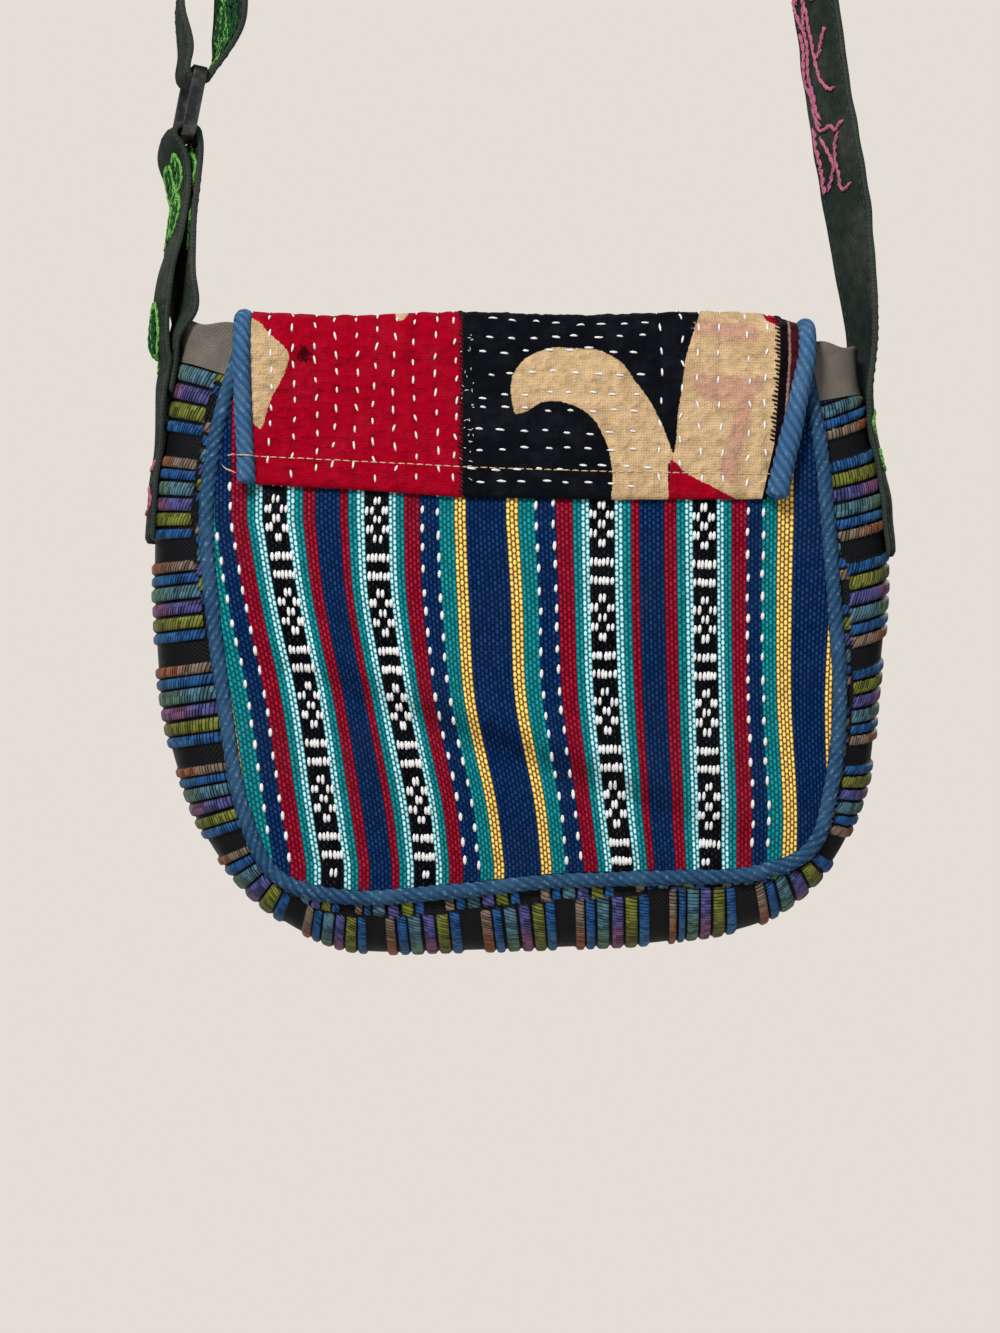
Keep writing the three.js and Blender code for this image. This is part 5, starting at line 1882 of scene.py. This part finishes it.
def strip_half(k):
    """Half the thickness at a share across, from -1 to 1."""
    out = np.abs(k)
    half = STRIP_HALF + (STRIP_EDGE_HALF - STRIP_HALF) * ease((out - 0.74) / 0.08)
    sewn = 0.28 * np.exp(-((out - STITCH_AT) * STRIP_HALF_WIDE / 0.6) ** 2)
    return (half - sewn) * quarter_round((out - 0.93) / 0.07)


class Strip:
    """A strip through rows of points: its skin, and its two sides for sewing on."""

    def __init__(self, rows, crumple, seed):
        columns = [smooth_line(column, 12) for column in np.swapaxes(np.array(rows), 0, 1)]
        self.lines = np.stack(columns, axis=1)
        self.run = run_along(self.lines.mean(axis=1))
        self.length = self.run[-1]
        self.heights = self.lines.mean(axis=1)[:, 2]
        self.crumple = crumple
        self.seed = seed

    def even(self, along, k):
        """The middle of the cloth without its crumples."""
        along, k = np.broadcast_arrays(along, k)
        spots = along.ravel()
        at = np.stack([np.interp(spots, self.run, line) for line in self.lines.reshape(-1, 12).T], axis=-1)
        weights = np.ones((k.size, 4))
        for column, place in enumerate(ACROSS):
            for other in ACROSS:
                if other != place:
                    weights[:, column] *= (k.ravel() - other) / (place - other)
        points = (at.reshape(-1, 4, 3) * weights[..., None]).sum(axis=1)
        return points.reshape(*k.shape, 3)

    def folds(self, along, k):
        """How far its crumples lift the cloth."""
        return self.crumple * ripples(along, k * STRIP_HALF_WIDE, CRUMPLE_SIZE, self.seed)

    def side(self, way):
        """One face of the strip as a surface over its length and its share across."""
        def face(along, k):
            points, normals = with_normals(self.even, along, k, STRIP_STEPS)
            return points + normals * (way * strip_half(k) + self.folds(along, k))[..., None]
        return face

    def along_of(self, height, first, last):
        """The length along the strip where its middle is at a height, between two points of its course."""
        low, high = np.searchsorted(self.run, (first, last))
        heights, run = self.heights[low:high], self.run[low:high]
        order = np.argsort(heights)
        return np.interp(height, heights[order], run[order])


def make_strip(name, node, strip, finish):
    rows = round(strip.length / STRIP_STEP)

    def spots(across, down):
        turn = 2 * math.pi * across
        return down * strip.length, -np.cos(turn), np.where(across <= 0.5, 1.0, -1.0)

    def place(across, down):
        along, k, way = spots(across, down)
        to_end = np.minimum(along, strip.length - along)
        closing = quarter_round(1 - to_end / STRIP_END)
        points, normals = with_normals(strip.even, along, k, STRIP_STEPS)
        return points + normals * (way * strip_half(k) * closing + strip.folds(along, k))[:, None]

    piece, across, down = lay_cloth(name, STRIP_COLUMNS, rows, place)
    along, k, _ = spots(across, down)
    set_cloth_place(piece, k * STRIP_HALF_WIDE, along)
    store(piece, "to_middle", np.abs(k))
    close_skin(merge=0.004)
    dress(piece, finish, "strap_cloth", node)
    return piece


# %% The strap's cloth, and both strips
def strap_finish():
    finish, tree, shader = new_finish("strap_cotton", 0.9)
    weave = cloth_weave(tree, 0.7)
    fade = cloth_wear(tree, 22.0)
    dyed = blend(tree, fade, colour(35, 44, 39), colour(58, 62, 55))
    mottle = calc(tree, "MULTIPLY_ADD", speckle(tree, cloth_place(tree), 4.5), 1.5, 0.3)
    dyed = scaled(tree, dyed, mottle)
    wear_and_painted_crease_shade = soft_step(tree, stored(tree, "to_middle"), 0.93, 0.99)
    edged = blend(tree, times(tree, wear_and_painted_crease_shade, 0.5), dyed, colour(64, 70, 63))
    # Between the threads the strap is painted darker, as painted shade in the weave's hollows.
    low = times(tree, calc(tree, "SUBTRACT", 1.0, weave), 0.45)
    give_colour(tree, shader, blend(tree, low, edged, colour(20, 25, 22)))
    give_relief(tree, shader, weave, 0.16)
    return finish


strap_cotton = strap_finish()
strap_strip = Strip(strap_rows(), 0.35, 61)
tab_strip = Strip(tab_rows(), 0.3, 62)
strap = make_strip("strap_strip", "strap", strap_strip, strap_cotton)
tab = make_strip("strap_tab_strip", "strap_tab", tab_strip, strap_cotton)
print(f"strap {strap_strip.length:.0f} mm, tab {tab_strip.length:.0f} mm")

# %% Stitches along the edges of the strips
EDGE_STITCH_PITCH = 3.6
EDGE_STITCH_LONG = 2.5
EDGE_STITCH_CLEAR = 3.0      # no stitch lies nearer than this to an end


def edge_stitches(name, strip):
    middles = np.arange(EDGE_STITCH_CLEAR, strip.length - EDGE_STITCH_CLEAR, EDGE_STITCH_PITCH)
    lines, normals = [], []
    for way in (-1, 1):
        for edge in (-STITCH_AT, STITCH_AT):
            k = np.full_like(middles, edge)
            starts = pairs(middles - EDGE_STITCH_LONG / 2, k)
            ends = pairs(middles + EDGE_STITCH_LONG / 2, k)
            found = stitch_lines(strip.side(way), way, starts, ends, 0.4, SEWING_STEPS)
            lines.append(found[0])
            normals.append(found[1])
    return sew(name, np.vstack(lines), np.vstack(normals), 0.55, 0.4, strap_thread, "strap_cloth", sides=4)


strap_stitches = edge_stitches("strap_edge_stitches", strap_strip)
tab_stitches = edge_stitches("tab_edge_stitches", tab_strip)

# %% [markdown]
# ## Embroidery
# Pink vines and green leaves are worked on the strap and the tab in thick thread. Each stroke is drawn
# through a few points on the strip's face and then laid as two strands that turn round each other, as plied
# thread does.

# %% Strokes of thread on a strip
STROKE_POINTS = 34
TWIST = 6.5                  # length of one turn of the two strands round each other, in mm
STRAND_APART = 0.36          # share of a strand's width that it lies off the middle of the stroke
STRAND_LIFT = 0.38
STRAND_SWING = 0.22
STROKE_HEIGHT = 0.75
EDGE_SHARE = 0.93            # no stroke goes further out than this share of the half width
STROKE_CLEAR = 2.0


def stroke(points):
    """A smooth stroke from a few given points."""
    line = smooth_line(points, 10)
    run = run_along(line * (1, STRIP_HALF_WIDE))
    marks = np.linspace(0, run[-1], STROKE_POINTS)
    return np.stack([np.interp(marks, run, column) for column in line.T], axis=-1)


def embroider(name, strip, way, strokes, finish, width, seed):
    """Strokes are rows of (length along, share across). Each is laid as two turning strands."""
    draw = np.random.default_rng(seed)
    laid = []
    lifts = []
    for points in strokes:
        line = stroke(points)
        turn = 2 * math.pi * run_along(line * (1, STRIP_HALF_WIDE)) / TWIST
        sway = np.cumsum(draw.normal(0, 0.02, len(line)))
        for strand in (-1, 1):
            aside = strand * width * STRAND_APART / STRIP_HALF_WIDE * np.cos(turn) + sway - sway.mean()
            laid.append(line + pairs(draw.normal(0, 0.12, len(line)), aside))
            lifts.append(STRAND_LIFT + strand * STRAND_SWING * np.sin(turn))
    laid = np.array(laid)
    lifts = np.array(lifts)
    laid[..., 1] = np.clip(laid[..., 1], -EDGE_SHARE, EDGE_SHARE)
    laid[..., 0] = np.clip(laid[..., 0], STROKE_CLEAR, strip.length - STROKE_CLEAR)
    points, normals = with_normals(strip.side(way), laid[..., 0], laid[..., 1], SEWING_STEPS)
    normals = normals * way
    lifts[:, [0, -1]] = -0.4
    lines = points + normals * lifts[..., None]
    return sew(name, lines, normals, width, STROKE_HEIGHT, finish, "strap_cloth", sides=5)


# %% Pink vines on the right of the strap
VINE_TOP_Z = -453.6          # height of the vine's first point
VINE_REPEAT = 66.0
VINE = [  # each stroke: pixels below that height, share across
    [(-24, -0.86), (-6, -0.88), (2, -0.8), (20, -0.6), (45, -0.58), (70, -0.66), (98, -0.58), (110, -0.4)],
    [(-26, -0.2), (-10, -0.42), (4, -0.62), (18, -0.6)],
    [(-20, -0.5), (3, -0.35), (18, -0.32), (41, -0.35), (56, -0.25), (73, -0.11), (81, 0.2), (79.6, 0.46)],
    [(48, -0.19), (33, 0.12), (19, 0.42)],
    [(15, -0.92), (28, -0.76), (45, -0.75), (63, -0.83), (79.6, -0.74), (98, -0.70), (106, -0.67),
     (116, -0.53)],
    [(106, -0.67), (119, -0.46), (116, -0.11), (122, 0.1), (114, 0.48)],
    [(123, -0.49), (141, -0.36), (157.5, -0.36), (181, -0.72)],
    [(123, 0.17), (144, -0.14), (164, -0.16), (181.6, 0.07), (176, 0.51)],
    [(113, -0.84), (143, -0.79), (166, -0.82), (184, -0.79)],
]
VINE_REPEATS = 6
HOOK_ALONG = float(strap_strip.run[np.argmax(strap_strip.heights)])
vine_strokes = []
for repeat in range(VINE_REPEATS):
    for points in VINE:
        heights = [VINE_TOP_Z - PIXEL * row + repeat * VINE_REPEAT for row, _ in points]
        lengths = strap_strip.along_of(np.array(heights), 0, HOOK_ALONG)
        vine_strokes.append([(along, k) for along, (_, k) in zip(lengths, points)])
pink_vines = embroider("strap_pink_vines", strap_strip, -1, vine_strokes, pink_thread, 1.15, 71)

# %% Green leaves on the left
LEAF_LOOP = [(0.5, 0.0), (0.28, 0.5), (0.0, 0.78), (-0.28, 0.66), (-0.46, 0.2), (-0.5, 0.0), (-0.46, -0.2),
             (-0.28, -0.66), (0.0, -0.78), (0.28, -0.5), (0.5, 0.0)]
LEAF_VEIN = [(0.46, 0.0), (0.0, 0.1), (-0.5, 0.0), (-0.8, -0.25)]
LEAF_FILL = [[(0.3, 0.18), (-0.05, 0.42), (-0.36, 0.2)], [(0.3, -0.18), (-0.05, -0.42), (-0.36, -0.2)],
             [(0.36, 0.04), (0.0, 0.12), (-0.4, 0.04)]]


def leaf(shapes, middle, k, long, half_wide, tip_up):
    """A leaf's strokes: its middle, length, half width as a share, and 1 if its tip is at the far end."""
    way = 1 if tip_up else -1
    return [[(middle + way * long * a, k + half_wide * b) for a, b in shape] for shape in shapes]


def leaves_at(shapes, strip, first, last, places):
    found = []
    for row, k, long, half_wide, tip_up in places:
        height = FOLD_Z - float(picture_drop(row))
        found += leaf(shapes, float(strip.along_of(height, first, last)), k, long, half_wide, tip_up)
    return found


past_hook = np.where(strap_strip.run > HOOK_ALONG, strap_strip.heights, 0)
RING_TURN = float(strap_strip.run[np.argmin(past_hook)])
TAB_TURN = float(tab_strip.run[np.argmax(tab_strip.heights)])
AFTER_RING = [(46, 0.3, 14, 0.4, False), (14, -0.3, 15, 0.4, True), (-34, -0.2, 18, 0.5, True)]
TAB_OUTSIDE = [(166, 0.3, 15, 0.5, True), (176, -0.42, 15, 0.45, True), (212, 0.32, 15, 0.5, False),
               (224, -0.36, 15, 0.5, False), (328, 0.2, 22, 0.52, True)]
TAB_INSIDE = [(166, 0.55, 12, 0.32, True), (214, 0.55, 14, 0.3, False)]
LEAF_PLACES = [  # name, strip, its side, the stretch of it, the leaves there
    ("strap", strap_strip, -1, RING_TURN + 12, strap_strip.length - 24, AFTER_RING),
    ("tab", tab_strip, -1, 0, TAB_TURN - 10, TAB_OUTSIDE),
    ("tab_inner", tab_strip, 1, TAB_TURN + 10, tab_strip.length, TAB_INSIDE),
]
FIELD_LINES = np.linspace(-0.66, 0.66, 7)
field = [[(start, k), (start + 9, k + 0.06), (start + 19, k - 0.03)]
         for start in RING_TURN + np.arange(12, 84, 18) for k in FIELD_LINES]
leaf_field = embroider("strap_leaf_field", strap_strip, -1, field, dark_green_thread, 1.9, 70)
for seed, (name, strip, side, first, last, places) in enumerate(LEAF_PLACES, 72):
    fills = leaves_at(LEAF_FILL, strip, first, last, places)
    loops = leaves_at([LEAF_LOOP, LEAF_VEIN], strip, first, last, places)
    embroider(name + "_leaf_fill", strip, side, fills, dark_green_thread, 1.9, seed)
    embroider(name + "_leaf_outline", strip, side, loops, green_thread, 1.0, seed + 10)

# %% Thread ends low on the strap and on the tab
STRAP_BITS = [[(29.0, 0.6), (33.5, 0.82), (37.0, 0.7)], [(42.0, 0.75), (47.0, 0.88), (51.0, 0.7)]]
TAB_BITS = [[(9.0, 0.5), (14.0, 0.86), (19.0, 0.62)], [(24.0, 0.7), (26.0, 0.9), (28.0, 0.8)]]
green_bits = embroider("strap_green_bits", strap_strip, 1, STRAP_BITS, green_thread, 0.9, 75)
pink_bits = embroider("tab_pink_bits", tab_strip, -1, TAB_BITS, pink_thread, 0.9, 76)

# %% [markdown]
# ## Ring and slider
# Both are bent and stamped from dark plated metal. Their solids already have the right form, so they are
# copied. The plating is rubbed off along the edges, so the bevel that rounds them carries a second, brighter
# finish.

# %% Dark metal, bright at the edges
def metal_finish(name, shade, wear_and_painted_crease_shade, roughness, metallic):
    finish, tree, shader = new_finish(name, roughness, shine=0.5, metallic=metallic)
    scratches = speckle(tree, object_place(tree), 0.8)
    fade = cloth_wear(tree, 3.0)
    give_colour(tree, shader, blend(tree, fade, shade, wear_and_painted_crease_shade))
    give_relief(tree, shader, scratches, 0.03)
    return finish


dark_plating = metal_finish("dark_plating", colour(62, 63, 62), colour(92, 92, 88), 0.36, 1.0)
bright_edge = metal_finish("bright_edge", colour(226, 222, 212), colour(176, 172, 164), 0.26, 0.5)


def make_metal(name, node, round_edge):
    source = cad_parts[node]
    piece = source.copy()
    piece.data = source.data.copy()
    piece.name = name
    bpy.context.scene.collection.objects.link(piece)
    place = source.matrix_world.copy()
    piece.parent = None
    piece.matrix_world = place
    pick(piece)
    bpy.ops.object.transform_apply(location=True, rotation=True, scale=True)
    bpy.ops.object.mode_set(mode="EDIT")
    bpy.ops.mesh.select_all(action="SELECT")
    bpy.ops.mesh.remove_doubles(threshold=0.01 * MM)
    bpy.ops.mesh.dissolve_limited(angle_limit=math.radians(1))
    bpy.ops.object.mode_set(mode="OBJECT")
    piece.data.materials.clear()
    apply_modifier(piece, "BEVEL", width=round_edge * MM, segments=3, limit_method="ANGLE",
                   angle_limit=math.radians(50), material=1, harden_normals=False)
    bpy.ops.object.shade_smooth_by_angle(angle=math.radians(40))
    rounded = [face.material_index for face in piece.data.polygons]
    dress(piece, dark_plating, "dark_metal", node)
    piece.data.materials.append(bright_edge)
    piece.data.polygons.foreach_set("material_index", rounded)
    return piece


ring = make_metal("strap_ring_metal", "strap_ring", 0.6)
slider = make_metal("strap_slider_metal", "strap_slider", 0.5)
